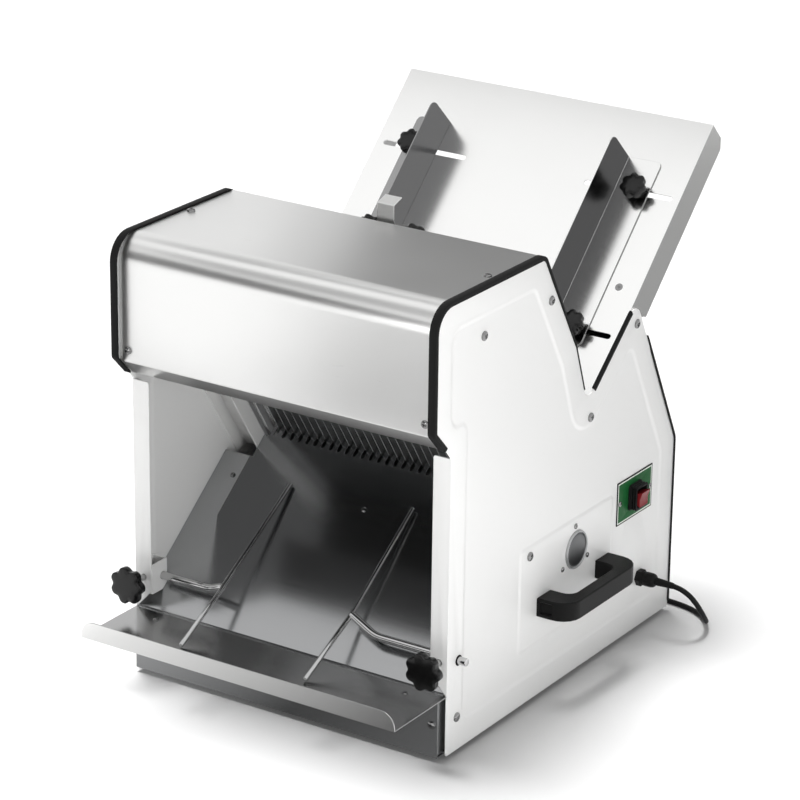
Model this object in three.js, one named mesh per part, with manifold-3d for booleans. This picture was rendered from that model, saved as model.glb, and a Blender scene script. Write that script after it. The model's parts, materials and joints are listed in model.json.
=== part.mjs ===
// Commercial bread slicer: a sloping infeed chute, toothed blades on two opposed frames, an outfeed slide.
// Millimetres. X runs across the machine, Y from the outfeed side to the rear, Z up.
// The model is first laid out with X centred, Y zero at the front flanges and Z zero under the side panels.
import * as THREE from 'three';
import { mergeVertices } from 'three/addons/utils/BufferGeometryUtils.js';
import Module from 'manifold-3d';

const wasm = await Module();
wasm.setup();

// Body
const machineWidth = 465;
const panelWall = 2.5;
const sheet = 1.5;
const fit = 0.3;
const overrun = 3;
const footDrop = 6;

// Where the drive stands: the crank behind and below the blades' foot, the motor behind the crank
const bladeFootY = 224;
const bladeFootZ = 261;
const crankBehindBlades = 72;
const crankBelowBlades = 94;
const motorBehindCrank = 136;
const motorAboveCrank = 11;
const motorToRear = 109;
const crankY = bladeFootY + crankBehindBlades;
const crankZ = bladeFootZ - crankBelowBlades;
const motorY = crankY + motorBehindCrank;
const motorZ = crankZ + motorAboveCrank;

// Side panel outline, in Y and Z
const panelDepth = motorY + motorToRear;
const rearWallHeight = 240;
const earApexY = 428.6;
const earApexZ = 459.1;
const throatFootY = 311.1;
const throatFootZ = 357.3;
const crownRearY = 201;
const crownZ = 577;
const crownFrontY = -36;
const chinZ = 425;
const chinFootY = -13;
const chinFootZ = 401;
const mouthTopZ = 386;
const cornerRadius = 4;
const rearBendRadius = 18;
const earRadius = 18;
const throatRadius = 14;
const throatKneeY = 281;
const throatKneeZ = 440;
const throatKneeRadius = 40;
const crownRearRadius = 12;
const crownFrontRadius = 32;
const chinRadius = 6;
const pressingInset = 35;
const pressingDepth = 0.9;
const pressingRadius = 18;

// Front flanges of the side panels
const flangeReach = 24.5;
const flangeTop = 385;
const flangeFoot = 105;
const flangeTip = 81;

// Rubber edge trim
const trimProud = 3;
const trimLip = 8;
const trimFace = 1.8;
const trimInner = 224;
const trimThin = 1.6;
const rearTrimProud = 2;
const rearTrimLip = 2.5;
const rearTrimFoot = 8;

// Top cover
const coverTop = 578;
const coverFrontY = -30;
const coverFoot = 419;
const coverReturnY = -10;
const coverReturnZ = 398;
const coverHem = 8;
const coverRearY = 200;
const coverBend = 34;
const coverLedge = 25;

// Throat wall behind the cover and the adjustable loaf-height plate
const throatTopY = 205.5;
const throatTopZ = 570;
const throatLean = 30.3;
const throatLength = 92;
const throatFlange = 12;
const heightPlateWidth = 380;
const heightPlateHigh = -4;
const heightPlateLow = -78;
const heightTongueWidth = 24;
const heightTongueRise = 32;
const heightTongueReach = 18;
const heightTongueLift = 6;
const heightKnobSpacing = 64;
const heightKnobDrop = 22;
const heightTravel = 44;

// Rear cover and crumb drawer
const rearCoverLip = 14;
const rearReturn = 30;
const drawerWidth = 390;
const drawerFront = 60;
const drawerHeight = 48;
const drawerGap = 3;
const drawerLow = 30;
const runnerReach = 48;
const runnerHeight = 28;
const runnerRearGap = 17;
const runnerRearY = panelDepth - runnerRearGap;
const drawerPullWidth = 110;
const drawerPullReach = 16;

// Base
const baseFloor = 2;
const baseLip = 14;
const baseFrontY = 6;
const footRadius = 15;
const footInset = 42;

// Front plinth
const plinthFrontY = -10;
const plinthHalf = 226;
const plinthReturn = 34;

// Outfeed slide and its comb
const slideSlope = 39;
const slideFootZ = 80;
const slideHalf = 228.5;
const slideSkirt = 40;
const slideNotchStart = 241;
const slideNotchHalf = 186.5;
const combHalf = 178.5;
const combPitch = 12.2;
const combSlots = 29;
const combSlotWidth = 5;
const combSlotStart = 276;
const slideLength = 306;

// Outfeed tray
const trayHalf = 232;
const trayFrontY = -112;
const trayLipHeight = 22;
const trayLipRadius = 20;
const trayTail = 12;

// Infeed chute, measured along its face from the top edge
const chuteSlope = 44.4;
const chuteTopY = 615;
const chuteTopZ = 641.4;
const chuteLength = 521;
const chuteFlange = 43;
const chuteFlangeLength = 262;
const chuteSkirt = 16;
const chuteChamfer = 11;
const chuteSlotInner = 90;
const chuteSlotOuter = 219;
const chuteSlotWidth = 7;
const chuteSlotUpper = 115;
const chuteSlotLower = 318;

// Infeed guides
const guideBend = 135;
const guideFoot = 50;
const guideHeight = 60;
const guideStart = 68;
const guideLength = 272;
const guideRadius = 12;
const guideStudRadius = 3;
const guideNutRadius = 7;
const guideKnobShare = 0.66;

// Star knobs
const knobLobes = 7;
const guideKnobRadius = 21;
const clampKnobRadius = 24;
const knobWaveShare = 0.13;
const knobThick = 13;
const knobBevel = 2.5;
const knobBoss = 8;
const studRadius = 4;

// Outfeed rods and their clamps
const railRodRadius = 3;
const crossRodRadius = 5;
const crossRodY = 24.5;
const crossRodZ = 119;
const crossRodStub = 12;
const clampKnobX = 220;
const clampKnobZ = 122;
const clampKnobFaceY = -38;
const bracketDepth = 30;
const bracketWall = 2;
const bracketLow = 100;
const bracketHigh = 140;
const rodLeftX = -110;
const rodRightX = 70;
const rodLeftKink = 27;
const rodRightKink = 43;
const rodLeftUpperY = 164;
const rodLeftUpperZ = 219;
const rodLeftBendY = 3;
const rodLeftBendZ = 121;
const rodLeftJointY = 18;
const rodLeftJointZ = 130;
const rodLeftLowerY = -70;
const rodRightUpperY = 171;
const rodRightUpperZ = 226;
const rodRightBendY = 37;
const rodRightBendZ = 132;
const rodRightJointY = 37;
const rodRightJointZ = 132;
const rodRightLowerY = -62;

// Blades and their frames, in the tilted blade plane: v to the rear, u up along the blades
const bladeTilt = 33.4;
const bladeWidth = 13;
const bladeThick = 1;
const bladeToothPitch = 18;
const bladeToothDepth = 3;
const bladeStroke = 24;
const bladeLowerMid = -53;
const bladeUpperMid = 233;
const barHeight = 14;
const barDepth = 16;
const barClear = 2;
const earLength = 10;
const earReach = 11;
const rearBarFront = 15;
const postInner = 194;
const postOuter = 206;
const postDepth = 11;
const postGap = 2;
const postFront = -10.7;

// Guide rails of the frames
const railFoot = -30;
const railHead = 208;
const railFace = 187;
const railFrontV = -32;
const railWall = 3;
const railRearWall = 5;
const railRibReach = 16;
const railRibPlace = 47;

// Crankshaft and drive
const shaftRadius = 8;
const crankHalf = 226;
const eccentricRadius = 22;
const eccentricThick = 10;
const strapWall = 5;
const strapThick = 8;
const strapSideGap = 0.5;
const strapPitchShare = 3.5;
const rodWidth = 16;
const pulleyX = -130;
const crankPulleyRadius = 42;
const motorPulleyRadius = 26;
const pulleyThick = 16;
const beltThick = 5;
const beltWidth = 10;
const beltSteps = 14;
const bearingRadius = 34;
const bearingThick = 15;
const bearingEndRadius = 25;
const bearingRimProud = 3;

// Motor and shelf
const motorRadius = 58;
const motorLeft = -96;
const motorRight = 92;
const motorShaftRadius = 7;
const motorFootWidth = 90;
const motorFootThick = 8;
const motorRibs = 12;
const motorRibDepth = 4;
const motorRibShares = [0.1, 0.9];
const motorBackShare = 0.08;
const motorBellShare = 0.2;
const shelfHeight = 108;
const shelfAhead = 66;
const shelfBehind = 68;
const shelfFrontY = motorY - shelfAhead;
const shelfRearY = motorY + shelfBehind;
const shelfWall = 3;
const shelfLip = 14;

// Carrying handles
const handleInset = 163;
const handleLength = 175;
const handleRearY = panelDepth - handleInset;
const handleFrontY = handleRearY - handleLength;
const handleZ = 122;
const handleHeight = 25;
const handleReach = 48;
const handleFootDepth = 33;
const handleBar = 17;
const handleRadius = 26;
const handleInnerRadius = 14;
const handlePocketDepth = 5;
const handlePocketWall = 5;

// Switch plate, switch and mains gland
const plateInset = 55;
const plateWidth = 89;
const plateRearY = panelDepth - plateInset;
const plateFrontY = plateRearY - plateWidth;
const plateLow = 162;
const plateHigh = 221;
const plateThick = 1;
const switchWidth = 30;
const switchHeight = 32;
const switchProud = 12;
const switchInside = 26;
const rockerProud = 4;
const rockerMargin = 4;
const rockerTilt = 9;
const glandInset = 80;
const glandY = panelDepth - glandInset;
const glandZ = 70;
const glandNutRadius = 11.5;
const glandNutThick = 8;
const glandBodyRadius = 9.5;
const glandReach = 36;
const glandTipRadius = 6;
const glandShoulderShare = 0.72;

// Mains lead: places are measured from the rear corner of the right panel, the coil lies behind the machine
const cordRadius = 3.5;
const cordSides = 8;
const cordStep = 22;
const coilInset = 136.5;
const coilBehind = 71;
const coilTurns = 6;
const coilInnerRadius = 28;
const coilPitch = 7.7;
const coilLayerStep = 7.5;
const coilStepsPerTurn = 20;
const coilSides = 6;
const coilEnd = 7;
const cordGapFloor = 0.4;
const plugRadius = 17;
const plugLength = 34;
const plugNeckRadius = 6;
const plugNeckLength = 9;
const plugPinRadius = 2.4;
const plugPinLength = 19;
const plugPinHalfSpacing = 9.5;
const tailPoints = [
  [-150.8, 5], [-157.5, 6], [-166.5, 8.4], [-174.5, 10.6], [-181.5, 11], [-188.5, 11],
];
const leadPoints = [
  [43.5, -80, 70], [52.5, -79.6, 69.2], [62.5, -77.5, 66], [71.5, -72, 57.5], [76.5, -64, 45.5],
  [78.5, -54, 32], [77.5, -42, 19], [73.5, -29, 8], [66.5, -16, 1], [56.5, -4, -2.2], [43.5, 6, -2.5],
  [27.5, 13, -2.5], [9.5, 17.2, -2.5], [-10.5, 19.3, -2.5], [-32.5, 19.9, -2.5], [-56.5, 19.9, -2.5],
  [-80.5, 19.9, -2.5], [-104.5, 19.9, -2.5], [-120.5, 19.9, -2.5],
];

const half = machineWidth / 2;
const inner = half - panelWall;
const degrees = Math.PI / 180;
const plinthTop = slideFootZ - sheet - fit;
const panelFace = half - pressingDepth + fit;
const weld = fit / 1000;
const arcStep = 18 * degrees;
const tightArcStep = 45 * degrees;
const tightRadius = 7;
const straight = 2 * degrees;
const bendSteps = 4;
const steepShare = 0.01;
const bladeOffsets = [...Array(combSlots).keys()].map((i) => (i - (combSlots - 1) / 2) * combPitch);

// Turn a geometry into a closed solid and back
function solid(geometry) {
  const bare = geometry.clone();
  bare.deleteAttribute('normal');
  bare.deleteAttribute('uv');
  const merged = mergeVertices(bare, weld);
  const vertProperties = new Float32Array(merged.attributes.position.array);
  const triVerts = new Uint32Array(merged.index.array);
  return new wasm.Manifold(new wasm.Mesh({ numProp: 3, vertProperties, triVerts }));
}

function geometryOf(body) {
  const mesh = body.getMesh();
  const geometry = new THREE.BufferGeometry();
  geometry.setAttribute('position', new THREE.BufferAttribute(new Float32Array(mesh.vertProperties), 3));
  geometry.setIndex(new THREE.BufferAttribute(new Uint32Array(mesh.triVerts), 1));
  geometry.computeVertexNormals();
  return geometry;
}

function join(bodies) {
  return bodies.reduce((sum, body) => sum.add(body));
}

// Rounded corner list: each corner is [a, b, radius], the result is a ring of points
function rounded(corners) {
  const ring = [];
  corners.forEach(([a, b, radius], i) => {
    const before = corners[(i + corners.length - 1) % corners.length];
    const after = corners[(i + 1) % corners.length];
    const toBefore = new THREE.Vector2(before[0] - a, before[1] - b).normalize();
    const toAfter = new THREE.Vector2(after[0] - a, after[1] - b).normalize();
    const corner = new THREE.Vector2(a, b);
    const halfAngle = Math.acos(THREE.MathUtils.clamp(toBefore.dot(toAfter), -1, 1)) / 2;
    const turn = Math.PI - 2 * halfAngle;
    if (!radius || turn < straight) {
      ring.push(corner);
      return;
    }
    const tangent = radius / Math.tan(halfAngle);
    const arc = radius < tightRadius ? tightArcStep : arcStep;
    const steps = Math.max(2, Math.ceil(turn / arc));
    const bisector = toBefore.clone().add(toAfter).normalize();
    const centre = corner.clone().addScaledVector(bisector, radius / Math.sin(halfAngle));
    const start = corner.clone().addScaledVector(toBefore, tangent).sub(centre);
    const end = corner.clone().addScaledVector(toAfter, tangent).sub(centre);
    const sweep = Math.sign(start.cross(end)) * turn;
    for (let step = 0; step <= steps; step += 1) {
      ring.push(start.clone().rotateAround(new THREE.Vector2(), (sweep * step) / steps).add(centre));
    }
  });
  return ring;
}

// Offset a closed corner list outwards; the corners run anticlockwise
function offset(corners, distance) {
  return corners.map(([a, b, radius], i) => {
    const before = corners[(i + corners.length - 1) % corners.length];
    const after = corners[(i + 1) % corners.length];
    const first = new THREE.Vector2(a - before[0], b - before[1]).normalize();
    const second = new THREE.Vector2(after[0] - a, after[1] - b).normalize();
    const normalOne = new THREE.Vector2(first.y, -first.x);
    const normalTwo = new THREE.Vector2(second.y, -second.x);
    const mitre = normalOne.clone().add(normalTwo);
    const scale = (2 * distance) / mitre.lengthSq();
    const convex = first.cross(second) > 0;
    const reach = convex ? radius + distance : radius - distance;
    return [a + mitre.x * scale, b + mitre.y * scale, Math.max(reach, 0)];
  });
}

// Bent sheet: an open corner list becomes the closed outline of a strip of the given wall
function strip(corners, wall) {
  const far = [];
  corners.forEach(([a, b, radius], i) => {
    const before = corners[i - 1] ?? [2 * a - corners[1][0], 2 * b - corners[1][1]];
    const after = corners[i + 1] ?? [2 * a - before[0], 2 * b - before[1]];
    const first = new THREE.Vector2(a - before[0], b - before[1]).normalize();
    const second = new THREE.Vector2(after[0] - a, after[1] - b).normalize();
    const mitre = new THREE.Vector2(-first.y - second.y, first.x + second.x);
    const scale = (2 * wall) / mitre.lengthSq();
    const inside = first.cross(second) > 0;
    const bend = radius ? Math.max(radius + (inside ? -wall : wall), 0) : 0;
    far.push([a + mitre.x * scale, b + mitre.y * scale, bend]);
  });
  return [...corners, ...far.reverse()];
}

function shapeOf(points) {
  return new THREE.Shape(points.map((point) => (point.isVector2 ? point : new THREE.Vector2(...point))));
}

// Extrusions of an outline: drawn in Y and Z along X, in X and Z along Y, in X and Y along Z
function alongX(points, low, high) {
  const body = new THREE.ExtrudeGeometry(shapeOf(points), { depth: high - low, bevelEnabled: false });
  const axes = new THREE.Matrix4().makeBasis(
    new THREE.Vector3(0, 1, 0), new THREE.Vector3(0, 0, 1), new THREE.Vector3(1, 0, 0),
  );
  return body.applyMatrix4(axes).translate(low, 0, 0);
}

function alongY(points, low, high) {
  const body = new THREE.ExtrudeGeometry(shapeOf(points), { depth: high - low, bevelEnabled: false });
  return body.rotateX(Math.PI / 2).translate(0, high, 0);
}

function alongZ(points, low, high) {
  const body = new THREE.ExtrudeGeometry(shapeOf(points), { depth: high - low, bevelEnabled: false });
  return body.translate(0, 0, low);
}

function box(xs, ys, zs) {
  const [x0, x1] = xs[0] < xs[1] ? xs : [xs[1], xs[0]];
  const body = new THREE.BoxGeometry(x1 - x0, ys[1] - ys[0], zs[1] - zs[0]);
  return body.translate((x0 + x1) / 2, (ys[0] + ys[1]) / 2, (zs[0] + zs[1]) / 2);
}

function cylinderX(radius, low, high, y, z, sides = 20) {
  const body = new THREE.CylinderGeometry(radius, radius, high - low, sides);
  return body.rotateZ(Math.PI / 2).translate((low + high) / 2, y, z);
}

function cylinderY(radius, low, high, x, z, sides = 20) {
  const body = new THREE.CylinderGeometry(radius, radius, high - low, sides);
  return body.translate(x, (low + high) / 2, z);
}

function cylinderZ(radius, low, high, x, y, sides = 20) {
  const body = new THREE.CylinderGeometry(radius, radius, high - low, sides);
  return body.rotateX(Math.PI / 2).translate(x, y, (low + high) / 2);
}

// Section of a round bar or lead
function roundSection(radius, sides) {
  return [...Array(sides).keys()].map((i) => {
    const angle = (2 * Math.PI * i) / sides;
    return new THREE.Vector2(radius * Math.cos(angle), radius * Math.sin(angle));
  });
}

// Round bar through corner points whose bends are arcs
function bentBar(corners, radius, sides, bend) {
  const path = new THREE.CurvePath();
  let from = corners[0];
  corners.slice(1, -1).forEach((corner, i) => {
    const entry = corner.clone().add(from.clone().sub(corner).setLength(bend));
    const exit = corner.clone().add(corners[i + 2].clone().sub(corner).setLength(bend));
    path.add(new THREE.LineCurve3(from, entry));
    path.add(new THREE.QuadraticBezierCurve3(entry, corner, exit));
    from = exit;
  });
  path.add(new THREE.LineCurve3(from, corners[corners.length - 1]));
  const apart = (point, i, all) => !i || point.distanceTo(all[i - 1]) > fit;
  const points = path.getPoints(bendSteps).filter(apart);
  return barThrough(points, roundSection(radius, sides));
}

// Closed tube whose rings stand on the given points, square to the path
function barThrough(points, ring) {
  const positions = [];
  const index = [];
  const tangents = points.map((point, i) => {
    const before = points[Math.max(i - 1, 0)];
    const after = points[Math.min(i + 1, points.length - 1)];
    return after.clone().sub(before).normalize();
  });
  let across = new THREE.Vector3(0, 0, 1).cross(tangents[0]);
  if (across.lengthSq() < steepShare) across = new THREE.Vector3(0, 1, 0).cross(tangents[0]);
  across.normalize();
  points.forEach((point, i) => {
    across.addScaledVector(tangents[i], -across.dot(tangents[i])).normalize();
    const up = tangents[i].clone().cross(across);
    ring.forEach(({ x, y }) => {
      const place = point.clone().addScaledVector(across, x).addScaledVector(up, y);
      positions.push(place.x, place.y, place.z);
    });
  });
  const sides = ring.length;
  for (let row = 0; row < points.length - 1; row += 1) {
    for (let side = 0; side < sides; side += 1) {
      const next = (side + 1) % sides;
      const a = row * sides + side;
      const b = row * sides + next;
      index.push(a, b, b + sides, a, b + sides, a + sides);
    }
  }
  const last = (points.length - 1) * sides;
  for (let side = 1; side < sides - 1; side += 1) {
    index.push(0, side + 1, side, last, last + side, last + side + 1);
  }
  const geometry = new THREE.BufferGeometry();
  geometry.setAttribute('position', new THREE.Float32BufferAttribute(positions, 3));
  geometry.setIndex(index);
  geometry.computeVertexNormals();
  return geometry;
}

// Mirror a geometry to the other side of the machine, with its faces still outwards
function mirrored(geometry) {
  const flipped = geometry.index ? geometry.clone() : mergeVertices(geometry.clone());
  flipped.scale(-1, 1, 1);
  const index = flipped.index.array;
  for (let i = 0; i < index.length; i += 3) {
    [index[i], index[i + 1]] = [index[i + 1], index[i]];
  }
  flipped.computeVertexNormals();
  return flipped;
}

function sided(geometry, side) {
  return side > 0 ? geometry : mirrored(geometry);
}

// X range on one side of the machine, low end first
function sideSpan(side, near, far) {
  return side > 0 ? [near, far] : [-far, -near];
}

function finish(color, roughness, metalness) {
  return new THREE.MeshStandardMaterial({ color, roughness, metalness });
}

const whitePaint = finish('#e9e9e8', 0.35, 0);
const stainless = finish('#c4c4c2', 0.28, 1);
const darkStainless = finish('#77777a', 0.2, 1);
const polishedSteel = finish('#d6d6d6', 0.12, 1);
const bladeSteel = finish('#b9babc', 0.22, 1);
const castAluminium = finish('#a9abac', 0.5, 0.9);
const blackRubber = finish('#1b1b1b', 0.75, 0);
const blackPlastic = finish('#161616', 0.4, 0);
const greenPlate = finish('#1f6b35', 0.4, 0);
const redRocker = finish('#8d2a2c', 0.3, 0);
const motorPaint = finish('#5b6166', 0.55, 0.3);
const beltRubber = finish('#202020', 0.8, 0);

const machine = new THREE.Group();
const chuteFrame = new THREE.Group();
const slideFrame = new THREE.Group();
const bladePlane = new THREE.Group();
const throatFrame = new THREE.Group();
machine.add(chuteFrame, slideFrame, bladePlane, throatFrame);
chuteFrame.position.set(0, chuteTopY, chuteTopZ);
chuteFrame.rotation.x = chuteSlope * degrees;
slideFrame.position.set(0, 0, slideFootZ);
slideFrame.rotation.x = slideSlope * degrees;
bladePlane.position.set(0, bladeFootY, bladeFootZ);
bladePlane.rotation.x = bladeTilt * degrees;
throatFrame.position.set(0, throatTopY, throatTopZ);
throatFrame.rotation.x = throatLean * degrees;

function place(parent, name, geometry, material) {
  const mesh = new THREE.Mesh(geometry, material);
  mesh.name = name;
  parent.add(mesh);
  return mesh;
}

const sideNames = { 1: 'right', '-1': 'left' };
const sides = [-1, 1];

// Side panels: one pressed outline, its front flange, a shallow pressed field and the holes
const panelCorners = [
  [0, 0, cornerRadius],
  [panelDepth, 0, cornerRadius],
  [panelDepth, rearWallHeight, rearBendRadius],
  [earApexY, earApexZ, earRadius],
  [throatFootY, throatFootZ, throatRadius],
  [throatKneeY, throatKneeZ, throatKneeRadius],
  [crownRearY, crownZ, crownRearRadius],
  [crownFrontY, crownZ, crownFrontRadius],
  [crownFrontY, chinZ, chinRadius],
  [chinFootY, chinFootZ, 0],
  [0, mouthTopZ, 0],
];
const pressingCorners = [
  [0, 0, 0],
  [panelDepth, 0, 0],
  [panelDepth, rearWallHeight, 0],
  [earApexY, earApexZ, 0],
  [throatFootY, throatFootZ, 0],
  [throatKneeY, throatKneeZ, 0],
  [crownRearY, crownZ, 0],
  [crownFrontY, crownZ, 0],
  [crownFrontY, mouthTopZ, 0],
  [0, mouthTopZ, 0],
];

function sidePanel(side) {
  const outline = rounded(panelCorners);
  const field = offset(pressingCorners, -pressingInset).map(([y, z]) => [y, z, pressingRadius]);
  const flangeOutline = [
    [inner - fit, flangeTip], [half, flangeTip - cornerRadius], [half, flangeTop],
    [half - flangeReach, flangeTop], [half - flangeReach, flangeFoot],
  ];
  let body = solid(alongX(outline, inner, half));
  body = body.add(solid(alongY(flangeOutline, 0, panelWall)));
  const under = sheet + fit;
  const ledge = rounded(strip([
    [coverRearY - throatFlange - cornerRadius, coverTop - under, 0],
    [coverFrontY + under, coverTop - under, coverBend - under],
    [coverFrontY + under, coverFoot + sheet, 0],
  ], panelWall));
  body = body.add(solid(alongX(ledge, inner - coverLedge, inner + panelWall / 2)));
  body = body.subtract(solid(alongX(rounded(field), half - pressingDepth, half + overrun)));
  const stubHole = crossRodRadius + fit * 2;
  body = body.subtract(solid(cylinderX(stubHole, inner - overrun, half + overrun, crossRodY, crossRodZ, 16)));
  const bearingHole = cylinderX(bearingEndRadius + fit, inner - overrun, half + overrun, crankY, crankZ, 28);
  body = body.subtract(solid(bearingHole));
  const clampHole = cylinderY(studRadius + fit, -overrun, panelWall + overrun, clampKnobX, clampKnobZ, 12);
  body = body.subtract(solid(clampHole));
  if (side > 0) {
    const switchY = (plateFrontY + plateRearY) / 2;
    const switchZ = (plateLow + plateHigh) / 2;
    const cut = [
      [inner - overrun, half + overrun],
      [switchY - switchWidth / 2 - fit, switchY + switchWidth / 2 + fit],
      [switchZ - switchHeight / 2 - fit, switchZ + switchHeight / 2 + fit],
    ];
    body = body.subtract(solid(box(...cut)));
    const glandHole = glandTipRadius + fit;
    body = body.subtract(solid(cylinderX(glandHole, inner - overrun, half + overrun, glandY, glandZ, 16)));
  }
  return sided(geometryOf(body), side);
}
sides.forEach((side) => place(machine, `side_panel_${sideNames[side]}`, sidePanel(side), whitePaint));

// Rubber trim over the front, top and rear edges of the panels
function band(outer, innerReach, low, high) {
  const outside = solid(alongX(rounded(offset(panelCorners, outer)), low, high));
  const inside = solid(alongX(rounded(offset(panelCorners, innerReach)), low - overrun, high + overrun));
  return outside.subtract(inside);
}

function frontTrim(side) {
  const web = band(trimProud, fit, trimInner, half + trimFace);
  const lip = band(trimProud, -trimLip, half + fit, half + trimFace);
  const headMask = solid(alongX([
    [crownFrontY - 2 * trimProud, chinFootZ], [chinFootY - trimProud, chinFootZ - trimProud],
    [chinFootY + trimLip, chinZ], [crownRearY - crownRearRadius, chinZ],
    [crownRearY + trimProud, crownZ - crownRearRadius], [crownRearY + trimProud, crownZ + 2 * trimProud],
    [crownFrontY - 2 * trimProud, crownZ + 2 * trimProud],
  ], trimInner - overrun, half + 2 * trimFace));
  const seal = band(trimThin, fit, inner, half + fit);
  const throatMask = solid(alongX([
    [crownRearY - crownRearRadius, crownZ + 2 * trimProud], [throatFootY - throatRadius, throatFootZ],
    [throatFootY, throatFootZ + throatRadius], [earApexY, crownZ + 2 * trimProud],
  ], inner - 2 * trimProud, half + 2 * trimFace));
  const body = web.add(lip).intersect(headMask).add(seal.intersect(throatMask));
  return sided(geometryOf(body), side);
}

function rearTrim(side) {
  const web = band(rearTrimProud, fit, inner - rearTrimProud, half + trimThin);
  const lip = band(rearTrimProud, -rearTrimLip, half + fit, half + trimThin);
  const mask = solid(alongX([
    [panelDepth - 2 * rearTrimFoot, rearTrimFoot], [panelDepth + 2 * rearTrimProud, rearTrimFoot],
    [panelDepth + 2 * rearTrimProud, earApexZ - earRadius], [earApexY + earRadius, earApexZ - earRadius],
    [panelDepth - rearTrimFoot - rearBendRadius, rearWallHeight],
  ], inner - 2 * rearTrimProud, half + 2 * trimFace));
  return sided(geometryOf(web.add(lip).intersect(mask)), side);
}
sides.forEach((side) => {
  place(machine, `edge_trim_front_${sideNames[side]}`, frontTrim(side), blackRubber);
  place(machine, `edge_trim_rear_${sideNames[side]}`, rearTrim(side), blackRubber);
});

// Top cover: one bent sheet over the head, turned back and hemmed below the face
function topCover() {
  const reach = trimInner - fit;
  const outline = rounded(strip([
    [coverRearY, coverTop, 0],
    [coverFrontY, coverTop, coverBend],
    [coverFrontY, coverFoot, sheet * 2],
    [coverReturnY, coverReturnZ, sheet * 2],
    [coverReturnY + coverHem, coverReturnZ, 0],
  ], sheet));
  return geometryOf(solid(alongX(outline, -reach, reach)));
}
place(machine, 'top_cover', topCover(), stainless);

// Throat wall in its leaning frame: local Z up along the wall, local Y out of its rear face
function throatWall() {
  const reach = inner - fit;
  const outline = rounded(strip([
    [-throatFlange, 0, 0],
    [0, 0, sheet * 2],
    [0, -throatLength, sheet * 2],
    [-throatFlange, -throatLength, 0],
  ], -sheet));
  let body = solid(alongX(outline, -reach, reach));
  sides.forEach((side) => {
    const flangeXs = sideSpan(side, reach - sheet, reach);
    const flange = box(flangeXs, [-throatFlange, -sheet / 2], [-throatLength + sheet / 2, -sheet / 2]);
    const studX = (side * heightKnobSpacing) / 2;
    const stud = cylinderY(studRadius + fit, -overrun, overrun, studX, -heightKnobDrop, 12);
    body = body.add(solid(flange)).subtract(solid(stud));
  });
  return geometryOf(body);
}
place(throatFrame, 'throat_wall', throatWall(), whitePaint);

// A machine direction in Y and Z, seen in the leaning frame of the throat wall
function inThroat(y, z) {
  const lean = throatLean * degrees;
  return [y * Math.cos(lean) + z * Math.sin(lean), z * Math.cos(lean) - y * Math.sin(lean)];
}

// Loaf-height plate on the rear face of the throat wall: slots for the two studs, a finger tongue on top
function heightPlate() {
  const halfPlate = heightPlateWidth / 2;
  const plateOutline = rounded([
    [-halfPlate, heightPlateLow, cornerRadius], [halfPlate, heightPlateLow, cornerRadius],
    [halfPlate, heightPlateHigh, cornerRadius * 2], [-halfPlate, heightPlateHigh, cornerRadius * 2],
  ]);
  let body = solid(alongY(plateOutline, fit, fit + sheet));
  const rise = inThroat(0, heightTongueRise);
  const bend = inThroat(heightTongueReach, heightTongueRise + heightTongueLift);
  const root = heightPlateHigh;
  const tongue = rounded(strip([
    [fit, root - cornerRadius, 0],
    [fit, root, sheet * 2],
    [fit + rise[0], root + rise[1], sheet * 2],
    [fit + bend[0], root + bend[1], 0],
  ], -sheet));
  body = body.add(solid(alongX(tongue, -heightTongueWidth / 2, heightTongueWidth / 2)));
  sides.forEach((side) => {
    const x = (side * heightKnobSpacing) / 2;
    const wide = studRadius + fit;
    const low = -heightKnobDrop - heightTravel - wide;
    const high = -heightKnobDrop + wide;
    const slot = rounded([
      [x - wide, low, studRadius], [x + wide, low, studRadius],
      [x + wide, high, studRadius], [x - wide, high, studRadius],
    ]);
    body = body.subtract(solid(alongY(slot, -overrun, overrun)));
  });
  return geometryOf(body);
}
place(throatFrame, 'height_plate', heightPlate(), darkStainless);

// Star knob standing on its seat: axis along Z, underside of the boss at zero, stud below it
function starKnob(radius, stud, studLength, bossLength) {
  const steps = knobLobes * 4;
  const wave = radius * knobWaveShare;
  const ring = [...Array(steps).keys()].map((i) => {
    const angle = (2 * Math.PI * i) / steps;
    const reach = radius - knobBevel - wave + wave * Math.cos(knobLobes * angle);
    return new THREE.Vector2(reach * Math.cos(angle), reach * Math.sin(angle));
  });
  const bevels = { bevelThickness: knobBevel, bevelSize: knobBevel, bevelSegments: 1 };
  const depth = knobThick - 2 * knobBevel;
  const head = new THREE.ExtrudeGeometry(new THREE.Shape(ring), { depth, ...bevels });
  head.translate(0, 0, bossLength + knobBevel);
  const boss = cylinderZ(radius / 2 - knobBevel, 0, bossLength + knobBevel, 0, 0, 14);
  const shank = cylinderZ(stud, -studLength, knobBevel, 0, 0, 10);
  return geometryOf(join([solid(head), solid(boss), solid(shank)]));
}

sides.forEach((side) => {
  const knob = starKnob(guideKnobRadius, studRadius, sheet * 2 + fit * 3 + studRadius, knobBoss / 2);
  knob.rotateX(-Math.PI / 2);
  const mesh = place(throatFrame, `height_knob_${sideNames[side]}`, knob, blackPlastic);
  mesh.position.set((side * heightKnobSpacing) / 2, sheet + 2 * fit, -heightKnobDrop);
});

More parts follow.
